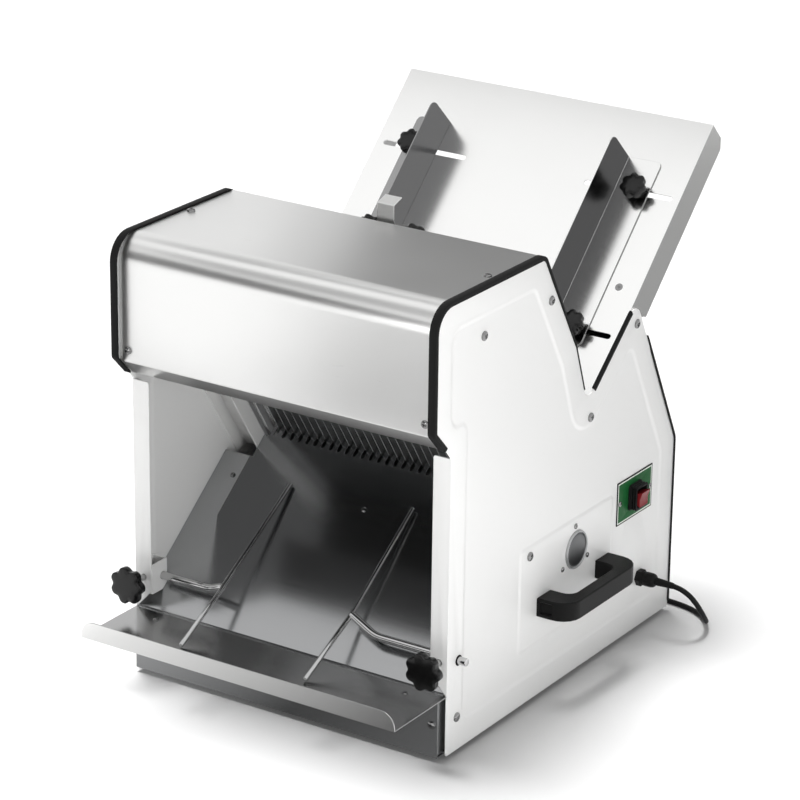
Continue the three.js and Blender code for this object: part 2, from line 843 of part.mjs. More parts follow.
// Rear cover: bent sheet between the panels with the drawer opening at its foot
function rearCover() {
  const reach = inner - rearTrimProud - 2 * fit;
  const chute = new THREE.Vector2(Math.cos(chuteSlope * degrees), Math.sin(chuteSlope * degrees));
  const slope = new THREE.Vector2(earApexY - panelDepth, earApexZ - rearWallHeight).normalize();
  const flangeFoot = chuteFlangeLength + chuteSkirt;
  const topY = chuteTopY - chute.x * flangeFoot + chute.y * chuteFlange;
  const along = (topY - panelDepth) / slope.x;
  const topZ = rearWallHeight + slope.y * along;
  const corners = [
    [panelDepth - fit, baseFloor + sheet + fit, 0],
    [panelDepth - fit, rearWallHeight, rearBendRadius],
    [topY, topZ, sheet * 2],
    [topY - rearReturn * chute.y, topZ + rearReturn * chute.x, 0],
  ];
  let body = solid(alongX(rounded(strip(corners, sheet)), -reach, reach));
  sides.forEach((side) => {
    const flange = [
      [panelDepth - fit - sheet / 2, baseFloor + sheet + fit],
      [panelDepth - fit - sheet / 2, rearWallHeight],
      [panelDepth - fit - rearCoverLip, rearWallHeight - fit],
      [panelDepth - fit - rearCoverLip, baseFloor + sheet + fit],
    ];
    const at = side > 0 ? [reach - sheet, reach] : [-reach, -reach + sheet];
    body = body.add(solid(alongX(flange, ...at)));
  });
  const opening = drawerWidth / 2 + drawerGap;
  const low = drawerLow - drawerGap;
  const high = drawerLow + drawerHeight + drawerGap;
  const through = [panelDepth - rearCoverLip, panelDepth + overrun];
  body = body.subtract(solid(box([-opening, opening], through, [low, high])));
  return geometryOf(body);
}
place(machine, 'rear_cover', rearCover(), whitePaint);

// Crumb drawer: an open tray with a bent finger pull on its rear face
function crumbDrawer() {
  const reach = drawerWidth / 2;
  const low = drawerLow;
  const high = low + drawerHeight;
  const rear = panelDepth - fit;
  let body = solid(box([-reach, reach], [drawerFront, rear], [low, high]));
  const cavityYs = [drawerFront + sheet, rear - sheet];
  const cavity = box([-reach + sheet, reach - sheet], cavityYs, [low + sheet, high + overrun]);
  body = body.subtract(solid(cavity));
  const pull = rounded(strip([
    [rear - sheet / 2, high - drawerPullReach, 0],
    [rear + drawerPullReach, high - drawerPullReach, sheet * 2],
    [rear + drawerPullReach, high - 2 * drawerPullReach + sheet * 2, 0],
  ], sheet));
  body = body.add(solid(alongX(pull, -drawerPullWidth / 2, drawerPullWidth / 2)));
  return geometryOf(body);
}
place(machine, 'crumb_drawer', crumbDrawer(), stainless);

// Drawer runners: angles on the side panels that carry the drawer
function drawerRunner(side) {
  const reach = inner - fit;
  const low = drawerLow - fit - sheet;
  const ys = [drawerFront, runnerRearY];
  const shelf = box(sideSpan(side, reach - runnerReach, reach), ys, [low, low + sheet]);
  const upright = box(sideSpan(side, reach - sheet, reach), ys, [low, low + runnerHeight]);
  return geometryOf(solid(shelf).add(solid(upright)));
}
sides.forEach((side) => {
  place(machine, `drawer_runner_${sideNames[side]}`, drawerRunner(side), castAluminium);
});

// Base pan with turned-up sides
function basePan() {
  const reach = inner - fit;
  const rear = panelDepth - rearCoverLip - fit;
  const ys = [baseFrontY, panelDepth - 2 * sheet];
  let body = solid(box([-reach, reach], ys, [baseFloor, baseFloor + sheet]));
  sides.forEach((side) => {
    const xs = side > 0 ? [reach - sheet, reach] : [-reach, -reach + sheet];
    body = body.add(solid(box(xs, [plinthReturn, rear], [baseFloor, baseFloor + baseLip])));
  });
  return geometryOf(body);
}
place(machine, 'base_pan', basePan(), castAluminium);

const footPlaces = { front: footInset, rear: panelDepth - footInset };
sides.forEach((side) => Object.entries(footPlaces).forEach(([end, y]) => {
  const foot = cylinderZ(footRadius, -footDrop, baseFloor - fit, side * (inner - footInset), y, 16);
  place(machine, `rubber_foot_${end}_${sideNames[side]}`, foot, blackRubber);
}));

// Front plinth: face, top return under the tray and side returns inside the panels
function frontPlinth() {
  const outline = strip([
    [plinthReturn, plinthTop], [plinthFrontY, plinthTop], [plinthFrontY, baseFloor - sheet],
    [baseFrontY - fit, baseFloor - sheet],
  ].map(([y, z], i) => [y, z, i === 1 ? sheet * 2 : 0]), sheet);
  let body = solid(alongX(rounded(outline), -plinthHalf, plinthHalf));
  sides.forEach((side) => {
    const xs = side > 0 ? [plinthHalf - sheet, plinthHalf] : [-plinthHalf, -plinthHalf + sheet];
    const ys = [plinthFrontY, plinthReturn - fit * 2];
    body = body.add(solid(box(xs, ys, [baseFloor + sheet + fit, plinthTop])));
  });
  return geometryOf(body);
}
place(machine, 'front_plinth', frontPlinth(), stainless);

// Outfeed slide in its own sloping frame: local Y up the slope, local Z out of the face
function outfeedSlide() {
  const outline = [
    [-slideHalf, sheet * 2], [slideHalf, sheet * 2], [slideHalf, slideNotchStart],
    [slideNotchHalf, slideNotchStart], [slideNotchHalf, combSlotStart], [combHalf, combSlotStart],
    [combHalf, slideLength], [-combHalf, slideLength], [-combHalf, combSlotStart],
    [-slideNotchHalf, combSlotStart], [-slideNotchHalf, slideNotchStart], [-slideHalf, slideNotchStart],
  ];
  const plate = shapeOf(outline);
  const face = new THREE.ExtrudeGeometry(plate, { depth: sheet, bevelEnabled: false });
  let body = solid(face.translate(0, 0, -sheet));
  const slotHalf = combSlotWidth / 2;
  const cuts = bladeOffsets.map((x) => solid(alongZ(rounded([
    [x - slotHalf, combSlotStart, slotHalf - fit / 2],
    [x + slotHalf, combSlotStart, slotHalf - fit / 2],
    [x + slotHalf, slideLength + overrun, 0],
    [x - slotHalf, slideLength + overrun, 0],
  ]), -sheet - overrun, overrun)));
  body = body.subtract(join(cuts));
  sides.forEach((side) => {
    const xs = side > 0 ? [slideHalf - sheet, slideHalf] : [-slideHalf, -slideHalf + sheet];
    const skirt = box(xs, [slideSkirt * 2, slideNotchStart], [-slideSkirt, -sheet / 2]);
    body = body.add(solid(skirt));
  });
  return geometryOf(body);
}
place(slideFrame, 'outfeed_slide', outfeedSlide(), darkStainless);

// Outfeed tray with its upturned, round-ended lip
function outfeedTray() {
  const top = slideFootZ;
  let body = solid(box([-trayHalf, trayHalf], [trayFrontY, -fit], [top - sheet, top]));
  const tail = inner - 2 * fit;
  body = body.add(solid(box([-tail, tail], [-fit * 2, trayTail], [top - sheet, top])));
  const lip = rounded([
    [-trayHalf, top - sheet, 0], [trayHalf, top - sheet, 0],
    [trayHalf, top + trayLipHeight, trayLipRadius], [-trayHalf, top + trayLipHeight, trayLipRadius],
  ]);
  body = body.add(solid(alongY(lip, trayFrontY, trayFrontY + sheet)));
  return geometryOf(body);
}
place(machine, 'outfeed_tray', outfeedTray(), darkStainless);

// Infeed chute in its own sloping frame: local Y up the slope, local Z out of the face
function infeedChute() {
  const reach = inner - fit;
  const plate = box([-reach, reach], [-chuteLength, 0], [-sheet, 0]);
  let body = solid(plate);
  const flange = rounded([
    [0, 0, 0],
    [0, chuteChamfer - chuteFlange, 0],
    [-chuteChamfer, -chuteFlange, 0],
    [-chuteFlangeLength, -chuteFlange, 0],
    [-chuteFlangeLength - chuteSkirt, -chuteSkirt, 0],
    [-chuteLength + 2 * chuteSkirt, -chuteSkirt, 0],
    [-chuteLength + chuteSkirt, 0, 0],
  ].reverse());
  sides.forEach((side) => {
    const xs = side > 0 ? [reach - sheet, reach] : [-reach, -reach + sheet];
    body = body.add(solid(alongX(flange, ...xs)));
    [chuteSlotUpper, chuteSlotLower].forEach((down) => {
      const near = side * chuteSlotInner;
      const far = side * chuteSlotOuter;
      const wide = chuteSlotWidth / 2;
      const round = wide - fit / 2;
      const slot = rounded([
        [Math.min(near, far), -down - wide, round], [Math.max(near, far), -down - wide, round],
        [Math.max(near, far), -down + wide, round], [Math.min(near, far), -down + wide, round],
      ]);
      body = body.subtract(solid(alongZ(slot, -sheet - overrun, overrun)));
    });
  });
  const topReturn = box([-reach, reach], [-sheet, 0], [-chuteFlange + 2 * chuteChamfer + overrun, 0]);
  return geometryOf(body.add(solid(topReturn)));
}
place(chuteFrame, 'infeed_chute', infeedChute(), stainless);

// Infeed guides: an upright fence and a foot flange, clamped through the chute slots
function guideKnobX(side) {
  return side * (guideBend + (guideFoot + sheet) * guideKnobShare);
}

function infeedGuide() {
  const top = -guideStart;
  const low = top - guideLength;
  const foot = rounded([
    [guideBend, low, 0], [guideBend + guideFoot, low, guideRadius / 2],
    [guideBend + guideFoot, top, guideRadius / 2], [guideBend, top, 0],
  ]);
  const fence = rounded([
    [low, fit, 0], [top, fit, 0],
    [top - sheet, guideHeight, guideRadius], [low + sheet, guideHeight, guideRadius],
  ]);
  let body = solid(alongZ(foot, fit, fit + sheet)).add(solid(alongX(fence, guideBend, guideBend + sheet)));
  [chuteSlotUpper, chuteSlotLower].forEach((down) => {
    const hole = cylinderZ(guideStudRadius + fit, -overrun, overrun, guideKnobX(1), -down, 12);
    body = body.subtract(solid(hole));
  });
  return geometryOf(body);
}
sides.forEach((side) => {
  place(chuteFrame, `infeed_guide_${sideNames[side]}`, sided(infeedGuide(), side), darkStainless);
  Object.entries({ upper: chuteSlotUpper, lower: chuteSlotLower }).forEach(([level, down]) => {
    const seat = fit * 2 + sheet;
    const studLength = seat + sheet + guideNutRadius;
    const knob = starKnob(guideKnobRadius, guideStudRadius, studLength, knobBoss);
    const tip = cylinderZ(guideNutRadius, -studLength, -sheet - fit - seat, 0, 0, 8);
    const whole = geometryOf(solid(knob).add(solid(tip)));
    const mesh = place(chuteFrame, `guide_knob_${level}_${sideNames[side]}`, whole, blackPlastic);
    mesh.position.set(guideKnobX(side), -down, seat);
  });
});

// Brackets behind the front flanges: open-topped boxes over the slide that hold the cross rods
function rodBracket(side) {
  const near = half - flangeReach;
  const far = inner - fit;
  const front = panelWall + fit;
  const rear = front + bracketDepth;
  const slope = Math.tan(slideSlope * degrees);
  const outline = (wall, high) => [
    [front + wall, bracketLow + wall], [(bracketLow - 2 * fit - slideFootZ) / slope, bracketLow + wall],
    [rear - wall, slideFootZ + rear * slope + 2 * fit + wall], [rear - wall, high], [front + wall, high],
  ];
  let body = solid(alongX(outline(0, bracketHigh), near, far));
  const hollow = alongX(outline(bracketWall, bracketHigh + overrun), near + bracketWall, far - bracketWall);
  body = body.subtract(solid(hollow));
  const rodHole = cylinderX(crossRodRadius + fit, near - overrun, far + overrun, crossRodY, crossRodZ, 16);
  body = body.subtract(solid(rodHole));
  const studHole = cylinderY(studRadius + fit, 0, front + bracketWall * 2, clampKnobX, clampKnobZ, 12);
  body = body.subtract(solid(studHole));
  return sided(geometryOf(body), side);
}
sides.forEach((side) => place(machine, `rod_bracket_${sideNames[side]}`, rodBracket(side), whitePaint));

// Outfeed rods: a cross rod through the bracket, kinked up to the long rail rod
const rodPlaces = {
  left: {
    x: rodLeftX, kink: -rodLeftKink,
    upper: [rodLeftUpperY, rodLeftUpperZ], bend: [rodLeftBendY, rodLeftBendZ],
    joint: [rodLeftJointY, rodLeftJointZ], lowerY: rodLeftLowerY,
  },
  right: {
    x: rodRightX, kink: rodRightKink,
    upper: [rodRightUpperY, rodRightUpperZ], bend: [rodRightBendY, rodRightBendZ],
    joint: [rodRightJointY, rodRightJointZ], lowerY: rodRightLowerY,
  },
};

function outfeedRod(side) {
  const { x, kink, upper, bend, joint, lowerY } = rodPlaces[sideNames[side]];
  const cross = bentBar([
    new THREE.Vector3(side * (half + crossRodStub), crossRodY, crossRodZ),
    new THREE.Vector3(x + kink, crossRodY, crossRodZ),
    new THREE.Vector3(x, ...joint),
  ], crossRodRadius, 10, crossRodRadius * 2);
  const long = bentBar([
    new THREE.Vector3(x, ...upper),
    new THREE.Vector3(x, ...bend),
    new THREE.Vector3(x, lowerY, slideFootZ + railRodRadius + fit),
  ], railRodRadius, 8, railRodRadius * 3);
  return geometryOf(solid(cross).add(solid(long)));
}
sides.forEach((side) => place(machine, `outfeed_rod_${sideNames[side]}`, outfeedRod(side), polishedSteel));

// Clamp knobs in front of the flanges, their studs bearing on the cross rods
sides.forEach((side) => {
  const seatY = clampKnobFaceY + knobThick + knobBoss / 2;
  const studEnd = crossRodY - crossRodRadius - fit;
  const knob = starKnob(clampKnobRadius, studRadius, studEnd - seatY, knobBoss / 2);
  knob.rotateX(Math.PI / 2);
  const mesh = place(machine, `clamp_knob_${sideNames[side]}`, knob, blackPlastic);
  mesh.position.set(side * clampKnobX, seatY, clampKnobZ);
});

// Blades: v to the rear and u up; the smooth back faces the outfeed, the teeth face the loaf
const frontBar = { near: -barClear - barDepth, far: -barClear };
const rearBar = { near: rearBarFront, far: rearBarFront + barDepth };

function blade(x, front, shift) {
  const low = bladeLowerMid - earLength / 2 + shift;
  const high = bladeUpperMid + earLength / 2 + shift;
  const tip = front ? frontBar.far - earReach : rearBar.near + earReach;
  const toothStart = low + earLength * 2;
  const teeth = Math.floor((high - low - earLength * 4) / bladeToothPitch);
  const edge = [];
  for (let tooth = 0; tooth < teeth; tooth += 1) {
    edge.push([bladeWidth - bladeToothDepth, toothStart + tooth * bladeToothPitch]);
    edge.push([bladeWidth, toothStart + (tooth + 0.5) * bladeToothPitch]);
  }
  edge.push([bladeWidth - bladeToothDepth, toothStart + teeth * bladeToothPitch]);
  const outline = front
    ? [[tip, low], [bladeWidth, low], ...edge, [bladeWidth, high], [tip, high],
      [tip, high - earLength], [0, high - earLength], [0, low + earLength], [tip, low + earLength]]
    : [[0, low], [tip, low], [tip, low + earLength], [bladeWidth, low + earLength], ...edge,
      [bladeWidth, high - earLength], [tip, high - earLength], [tip, high], [0, high]];
  return solid(alongX(outline, x - bladeThick / 2, x + bladeThick / 2));
}

// Blade frames: two cross bars that carry every other blade, and two posts that run in the guide rails
function bladeFrame(front) {
  const shift = front ? bladeStroke / 2 : -bladeStroke / 2;
  const bar = front ? frontBar : rearBar;
  const postNear = front ? postFront : postFront + postDepth + postGap;
  const chosen = bladeOffsets.filter((x, i) => (i % 2 === 0) === front);
  const barSpans = [bladeLowerMid, bladeUpperMid].map((middle) => [
    middle - barHeight / 2 + shift, middle + barHeight / 2 + shift,
  ]);
  const bars = barSpans.map((span) => solid(box([-postOuter, postOuter], [bar.near, bar.far], span)));
  const posts = sides.flatMap((side) => {
    const xs = sideSpan(side, postInner, postOuter);
    const post = box(xs, [postNear, postNear + postDepth], [barSpans[0][0], barSpans[1][1]]);
    const lugs = barSpans.map((span) => box(xs, [postNear, bar.far], span));
    return [post, ...(front ? [] : lugs)].map(solid);
  });
  return geometryOf(join([...bars, ...posts, ...chosen.map((x) => blade(x, front, shift))]));
}
place(bladePlane, 'blade_frame_front', bladeFrame(true), bladeSteel);
place(bladePlane, 'blade_frame_rear', bladeFrame(false), bladeSteel);

// Guide rails: a channel open to the front, with two grooves behind it for the frame posts
function guideRail() {
  const wall = inner - fit;
  const web = postFront - fit;
  const groove = postOuter + fit;
  const divider = [postFront + postDepth + fit, postFront + postDepth + postGap - fit];
  const rear = postFront + 2 * postDepth + postGap + fit;
  const nose = postInner - railWall;
  const outline = [
    [wall, railFrontV], [wall, rear + railRearWall], [nose, rear + railRearWall],
    [nose, rear], [groove, rear],
    [groove, divider[1]], [nose, divider[1]], [nose, divider[0]], [groove, divider[0]], [groove, web],
    [railFace, web], [railFace, railFrontV], [railFace + railWall, railFrontV],
    [railFace + railWall, web - railWall], [wall - railWall, web - railWall], [wall - railWall, railFrontV],
  ];
  const body = solid(alongZ(outline, railFoot, railHead));
  const corner = [railFace + railWall / 2, web - railWall / 2];
  const rib = [corner, [corner[0], corner[1] - railRibReach], [corner[0] + railRibReach, corner[1]]];
  return body.add(solid(alongZ(rib, railRibPlace, railRibPlace + railWall)));
}
sides.forEach((side) => {
  place(bladePlane, `guide_rail_${sideNames[side]}`, sided(geometryOf(guideRail()), side), castAluminium);
});

// Connecting rods: a strap ring beside its eccentric and a blade that rises to the frame bar
const crankFromFoot = new THREE.Vector2(crankY - bladeFootY, crankZ - bladeFootZ);
const [crankV, crankU] = crankFromFoot.rotateAround(new THREE.Vector2(), -bladeTilt * degrees).toArray();
const strapNear = strapPitchShare * combPitch - strapThick / 2;
const eccentricFar = strapNear - strapSideGap;

function connectingRod(front) {
  const side = front ? -1 : 1;
  const shift = front ? bladeStroke / 2 : -bladeStroke / 2;
  const xs = sideSpan(side, strapNear, strapNear + strapThick);
  const bore = eccentricRadius + fit;
  const middle = crankU + shift;
  const barMiddle = front ? (frontBar.near + frontBar.far) / 2 : (rearBar.near + rearBar.far) / 2;
  const barFoot = bladeLowerMid - barHeight / 2 + shift - fit;
  const ring = solid(cylinderX(bore + strapWall, ...xs, crankV, middle, 24));
  const shank = solid(alongX([
    [crankV - rodWidth / 2, middle], [crankV + rodWidth / 2, middle],
    [barMiddle + rodWidth / 2, barFoot], [barMiddle - rodWidth / 2, barFoot],
  ], ...xs));
  const hole = solid(cylinderX(bore, xs[0] - overrun, xs[1] + overrun, crankV, middle, 24));
  return geometryOf(ring.add(shank).subtract(hole));
}
place(bladePlane, 'connecting_rod_front', connectingRod(true), castAluminium);
place(bladePlane, 'connecting_rod_rear', connectingRod(false), castAluminium);

// Crankshaft in the blade plane frame, its two eccentrics half a turn apart
function crankshaft() {
  const shaft = solid(cylinderX(shaftRadius, -crankHalf, crankHalf, crankV, crankU, 16));
  const eccentrics = sides.map((side) => {
    const xs = sideSpan(side, eccentricFar - eccentricThick, eccentricFar);
    const shift = (-side * bladeStroke) / 2;
    return solid(cylinderX(eccentricRadius, ...xs, crankV, crankU + shift, 28));
  });
  return geometryOf(join([shaft, ...eccentrics]));
}
place(bladePlane, 'crankshaft', crankshaft(), polishedSteel);

// Flat belt drive on the left: each pulley has a groove between two rims
function pulley(radius, bore) {
  const wide = pulleyThick / 2;
  const deep = radius - beltThick;
  const groove = beltWidth / 2 + fit;
  const profile = [
    [bore, -wide], [radius, -wide], [radius, -groove], [deep, -groove],
    [deep, groove], [radius, groove], [radius, wide], [bore, wide], [bore, -wide],
  ].map(([a, b]) => new THREE.Vector2(a, b));
  return new THREE.LatheGeometry(profile, 24).rotateZ(Math.PI / 2);
}

function placedPulley(radius, bore, y, z) {
  return geometryOf(solid(pulley(radius, bore).translate(pulleyX, y, z)));
}
const crankPulley = placedPulley(crankPulleyRadius, shaftRadius + fit, crankY, crankZ);
const motorPulley = placedPulley(motorPulleyRadius, motorShaftRadius + fit, motorY, motorZ);
place(machine, 'crank_pulley', crankPulley, castAluminium);
place(machine, 'motor_pulley', motorPulley, castAluminium);

function driveBelt() {
  const lean = Math.atan2(motorZ - crankZ, motorY - crankY);
  const reach = Math.hypot(motorZ - crankZ, motorY - crankY);
  const spread = Math.acos((crankPulleyRadius - motorPulleyRadius) / reach);
  const arc = (y, z, radius, from, turn, steps) => [...Array(steps + 1).keys()].map((step) => {
    const angle = from + (turn * step) / steps;
    return new THREE.Vector2(y + radius * Math.cos(angle), z + radius * Math.sin(angle));
  });
  const loop = (grow) => [
    ...arc(crankY, crankZ, crankPulleyRadius + grow, lean + spread, 2 * Math.PI - 2 * spread, beltSteps),
    ...arc(motorY, motorZ, motorPulleyRadius + grow, lean - spread, 2 * spread, beltSteps),
  ];
  const xs = [pulleyX - beltWidth / 2, pulleyX + beltWidth / 2];
  const outer = solid(alongX(loop(fit * 2), ...xs));
  const hollow = solid(alongX(loop(fit * 2 - beltThick), xs[0] - overrun, xs[1] + overrun));
  return geometryOf(outer.subtract(hollow));
}
place(machine, 'drive_belt', driveBelt(), beltRubber);

// Bearing housings: a flange and boss inside the panel, the round end showing through its hole
function bearing(side) {
  const far = inner - fit;
  const near = far - bearingThick;
  const rim = panelFace + bearingRimProud;
  const profile = [
    [0, far - sheet], [bearingEndRadius, far - sheet],
    [bearingEndRadius, rim - sheet], [bearingEndRadius - sheet, rim],
    [bearingEndRadius - 2 * sheet, rim], [bearingEndRadius - 3 * sheet, rim - sheet], [0, rim - sheet],
  ].map(([a, b]) => new THREE.Vector2(a, b));
  const end = new THREE.LatheGeometry(profile, 24).rotateZ(-Math.PI / 2).translate(0, crankY, crankZ);
  const flange = cylinderX(bearingRadius, far - bearingThick / 3, far, crankY, crankZ);
  const boss = cylinderX(bearingRadius - bearingThick / 2, near, far, crankY, crankZ);
  const bore = cylinderX(shaftRadius + fit, near - overrun, inner, crankY, crankZ);
  return sided(geometryOf(join([solid(end), solid(flange), solid(boss)]).subtract(solid(bore))), side);
}
sides.forEach((side) => place(machine, `bearing_${sideNames[side]}`, bearing(side), stainless));

// Motor with cooling ribs, its feet and its shaft
function motor() {
  const length = motorRight - motorLeft;
  const bodyLeft = motorLeft + length * motorBackShare;
  const bodyRight = motorRight - length * motorBellShare;
  const ribs = [];
  const steps = motorRibs * 2;
  for (let step = 0; step < steps; step += 1) {
    const radius = motorRadius - (step % 2 ? motorRibDepth : 0);
    motorRibShares.forEach((share) => {
      const angle = (2 * Math.PI * (step + share)) / steps;
      ribs.push(new THREE.Vector2(motorY + radius * Math.cos(angle), motorZ + radius * Math.sin(angle)));
    });
  }
  const feetLow = shelfHeight + shelfWall + fit;
  const footYs = [motorY - motorFootWidth / 2, motorY + motorFootWidth / 2];
  const parts = [
    alongX(ribs, bodyLeft, bodyRight),
    cylinderX(motorRadius - motorRibDepth, motorLeft, bodyLeft + fit, motorY, motorZ, 24),
    cylinderX(motorRadius, bodyRight - fit, motorRight, motorY, motorZ, 24),
    cylinderX(motorShaftRadius, pulleyX - pulleyThick / 2, motorLeft + overrun, motorY, motorZ, 16),
    box([bodyLeft, bodyRight], footYs, [feetLow, feetLow + motorFootThick * 2]),
  ];
  return geometryOf(join(parts.map(solid)));
}
place(machine, 'motor', motor(), motorPaint);

function motorShelf() {
  const reach = inner - fit;
  const outline = rounded(strip([
    [shelfFrontY, shelfHeight - shelfLip, 0], [shelfFrontY, shelfHeight + shelfWall, shelfWall * 2],
    [shelfRearY, shelfHeight + shelfWall, shelfWall * 2], [shelfRearY, shelfHeight - shelfLip, 0],
  ], -shelfWall));
  let body = solid(alongX(outline, -reach, reach));
  sides.forEach((side) => {
    const ys = [shelfFrontY + shelfWall, shelfRearY - shelfWall];
    const zs = [shelfHeight - shelfLip, shelfHeight + shelfWall / 2];
    body = body.add(solid(box(sideSpan(side, reach - shelfWall, reach), ys, zs)));
  });
  return geometryOf(body);
}
place(machine, 'motor_shelf', motorShelf(), castAluminium);

// Carrying handles: a rounded U in plan with a moulded pocket in its front end
function carryHandle(side) {
  const seat = panelFace;
  const tip = half + handleReach;
  const outer = rounded([
    [seat, handleFrontY, 0], [seat, handleRearY, 0],
    [tip, handleRearY, handleRadius], [tip, handleFrontY, handleRadius],
  ]);
  const innerFront = handleFrontY + handleFootDepth;
  const innerRear = handleRearY - handleFootDepth;
  const gap = rounded([
    [seat - overrun, innerFront, 0], [seat - overrun, innerRear, 0],
    [tip - handleBar, innerRear, handleInnerRadius], [tip - handleBar, innerFront, handleInnerRadius],
  ]);
  const low = handleZ - handleHeight / 2;
  const high = handleZ + handleHeight / 2;
  let body = solid(alongZ([...outer].reverse(), low, high));
  body = body.subtract(solid(alongZ([...gap].reverse(), low - overrun, high + overrun)));
  const pocket = box(
    [seat + handlePocketWall, tip - handleRadius], [handleFrontY - overrun, handleFrontY + handlePocketDepth],
    [low + handlePocketWall, high - handlePocketWall],
  );
  return sided(geometryOf(body.subtract(solid(pocket))), side);
}
sides.forEach((side) => place(machine, `carry_handle_${sideNames[side]}`, carryHandle(side), blackPlastic));

// Switch plate, switch housing with its rubber boot, and the rocker
const switchY = (plateFrontY + plateRearY) / 2;
const switchZ = (plateLow + plateHigh) / 2;

function aroundSwitch(xs, halfY, halfZ) {
  return solid(box(xs, [switchY - halfY, switchY + halfY], [switchZ - halfZ, switchZ + halfZ]));
}

function switchPlate() {
  const hole = aroundSwitch([inner, panelFace + overrun], switchWidth / 2 + fit, switchHeight / 2 + fit);
  const plateXs = [panelFace, panelFace + plateThick];
  const plate = solid(box(plateXs, [plateFrontY, plateRearY], [plateLow, plateHigh]));
  return geometryOf(plate.subtract(hole));
}
place(machine, 'switch_plate', switchPlate(), greenPlate);

function switchHousing() {
  const face = panelFace + switchProud;
  const halfY = switchWidth / 2;
  const halfZ = switchHeight / 2;
  const seat = panelFace + plateThick + fit;
  const body = aroundSwitch([inner - switchInside, face], halfY, halfZ);
  const well = aroundSwitch([face - switchProud, face + overrun], halfY - rockerMargin, halfZ - rockerMargin);
  const ring = aroundSwitch([seat, seat + sheet], halfY + sheet, halfZ + sheet);
  return geometryOf(body.add(ring).subtract(well));
}
place(machine, 'switch_housing', switchHousing(), blackRubber);

// The rocker is drawn level about its pivot, then tilted to its off position
function switchRocker() {
  const halfY = switchWidth / 2 - rockerMargin - fit;
  const halfZ = switchHeight / 2 - rockerMargin - rockerProud * Math.sin(rockerTilt * degrees) * 2;
  const crest = rockerMargin + rockerProud;
  const valley = crest - halfZ * Math.tan(rockerTilt * degrees);
  const outline = [
    [-rockerMargin, -halfZ / 2], [crest, -halfZ], [valley, 0], [crest, halfZ], [-rockerMargin, halfZ / 2],
  ];
  return geometryOf(solid(alongY(outline, -halfY, halfY)));
}
const rocker = place(machine, 'switch_rocker', switchRocker(), redRocker);
rocker.position.set(panelFace + switchProud - rockerMargin, switchY, switchZ);
rocker.rotation.y = rockerTilt * degrees;

// Mains gland: hexagon nut, round body and tapered seal that the lead leaves
function mainsGland() {
  const tip = half + glandReach;
  const nut = solid(cylinderX(glandNutRadius, panelFace, panelFace + glandNutThick, glandY, glandZ, 6));
  const profile = [
    [0, inner - glandNutThick], [glandTipRadius, inner - glandNutThick], [glandTipRadius, panelFace],
    [glandBodyRadius, panelFace + glandNutThick - fit],
    [glandBodyRadius, half + glandReach * glandShoulderShare],
    [glandTipRadius, tip], [0, tip],
  ].map(([a, b]) => new THREE.Vector2(a, b));
  const body = new THREE.LatheGeometry(profile, 16).rotateZ(-Math.PI / 2).translate(0, glandY, glandZ);
  return geometryOf(nut.add(solid(body)));
}
place(machine, 'mains_gland', mainsGland(), blackPlastic);

// Coil of the lead: it spirals in on the floor and out again on top, turning clockwise seen from above
const floorZ = cordRadius - footDrop;
const coilPoints = [];
const coilSteps = coilTurns * coilStepsPerTurn;
for (let step = 0; step <= coilSteps; step += 1) {
  const turned = step / coilStepsPerTurn;
  const fromMiddle = turned - coilTurns / 2;
  const radius = coilInnerRadius + coilPitch * Math.abs(fromMiddle);
  const angle = -Math.PI / 2 - 2 * Math.PI * turned;
  const climb = THREE.MathUtils.clamp(2 * fromMiddle + 1 / 2, 0, 1);
  const z = floorZ + coilLayerStep * climb;
  const x = half - coilInset + radius * Math.cos(angle);
  const y = panelDepth + coilBehind + radius * Math.sin(angle);
  coilPoints.push(new THREE.Vector3(x, y, z));
}
const coilIn = coilPoints[0].clone().add(new THREE.Vector3(coilEnd, 0, 0));
const coilOut = coilPoints[coilSteps].clone().add(new THREE.Vector3(-coilEnd, 0, 0));
const coilPath = [coilIn, ...coilPoints, coilOut];

// Least gap of the coil to itself, measured between points at least half a turn apart
function leastSelfGap(points, radius, apart) {
  let least = Infinity;
  points.forEach((point, i) => {
    points.slice(i + apart).forEach((other) => {
      least = Math.min(least, point.distanceTo(other) - 2 * radius);
    });
  });
  return least;
}
const coilGap = leastSelfGap(coilPath, cordRadius, coilStepsPerTurn / 2);
console.log(`least self gap of the coil: ${coilGap.toFixed(2)} mm`);
if (coilGap < cordGapFloor) throw new Error('the coil touches itself');
place(machine, 'cord_coil', barThrough(coilPath, roundSection(cordRadius, coilSides)), blackPlastic);

// Free stretches of the lead: from the gland to the coil, and from the coil to the plug
function freeTube(points) {
  const path = new THREE.CatmullRomCurve3(points.slice(1, -1), false, 'centripetal');
  const steps = Math.ceil(path.getLength() / cordStep);
  const rings = [points[0], ...path.getSpacedPoints(steps), points[points.length - 1]];
  return barThrough(rings, roundSection(cordRadius, cordSides));
}
const leadStart = new THREE.Vector3(half + glandReach + fit, glandY, glandZ);
const leadEnd = coilIn.clone().add(new THREE.Vector3(fit, 0, 0));
const leadMiddle = leadPoints.map(([x, y, z]) => new THREE.Vector3(half + x, panelDepth + y, z));
const lead = [leadStart, ...leadMiddle, leadEnd];
place(machine, 'cord', freeTube(lead), blackPlastic);

const tailStart = coilOut.clone().add(new THREE.Vector3(-fit, 0, 0));
const tail = [tailStart, ...tailPoints.map(([x, z]) => new THREE.Vector3(half + x, tailStart.y, z))];
place(machine, 'cord_tail', freeTube(tail), blackPlastic);

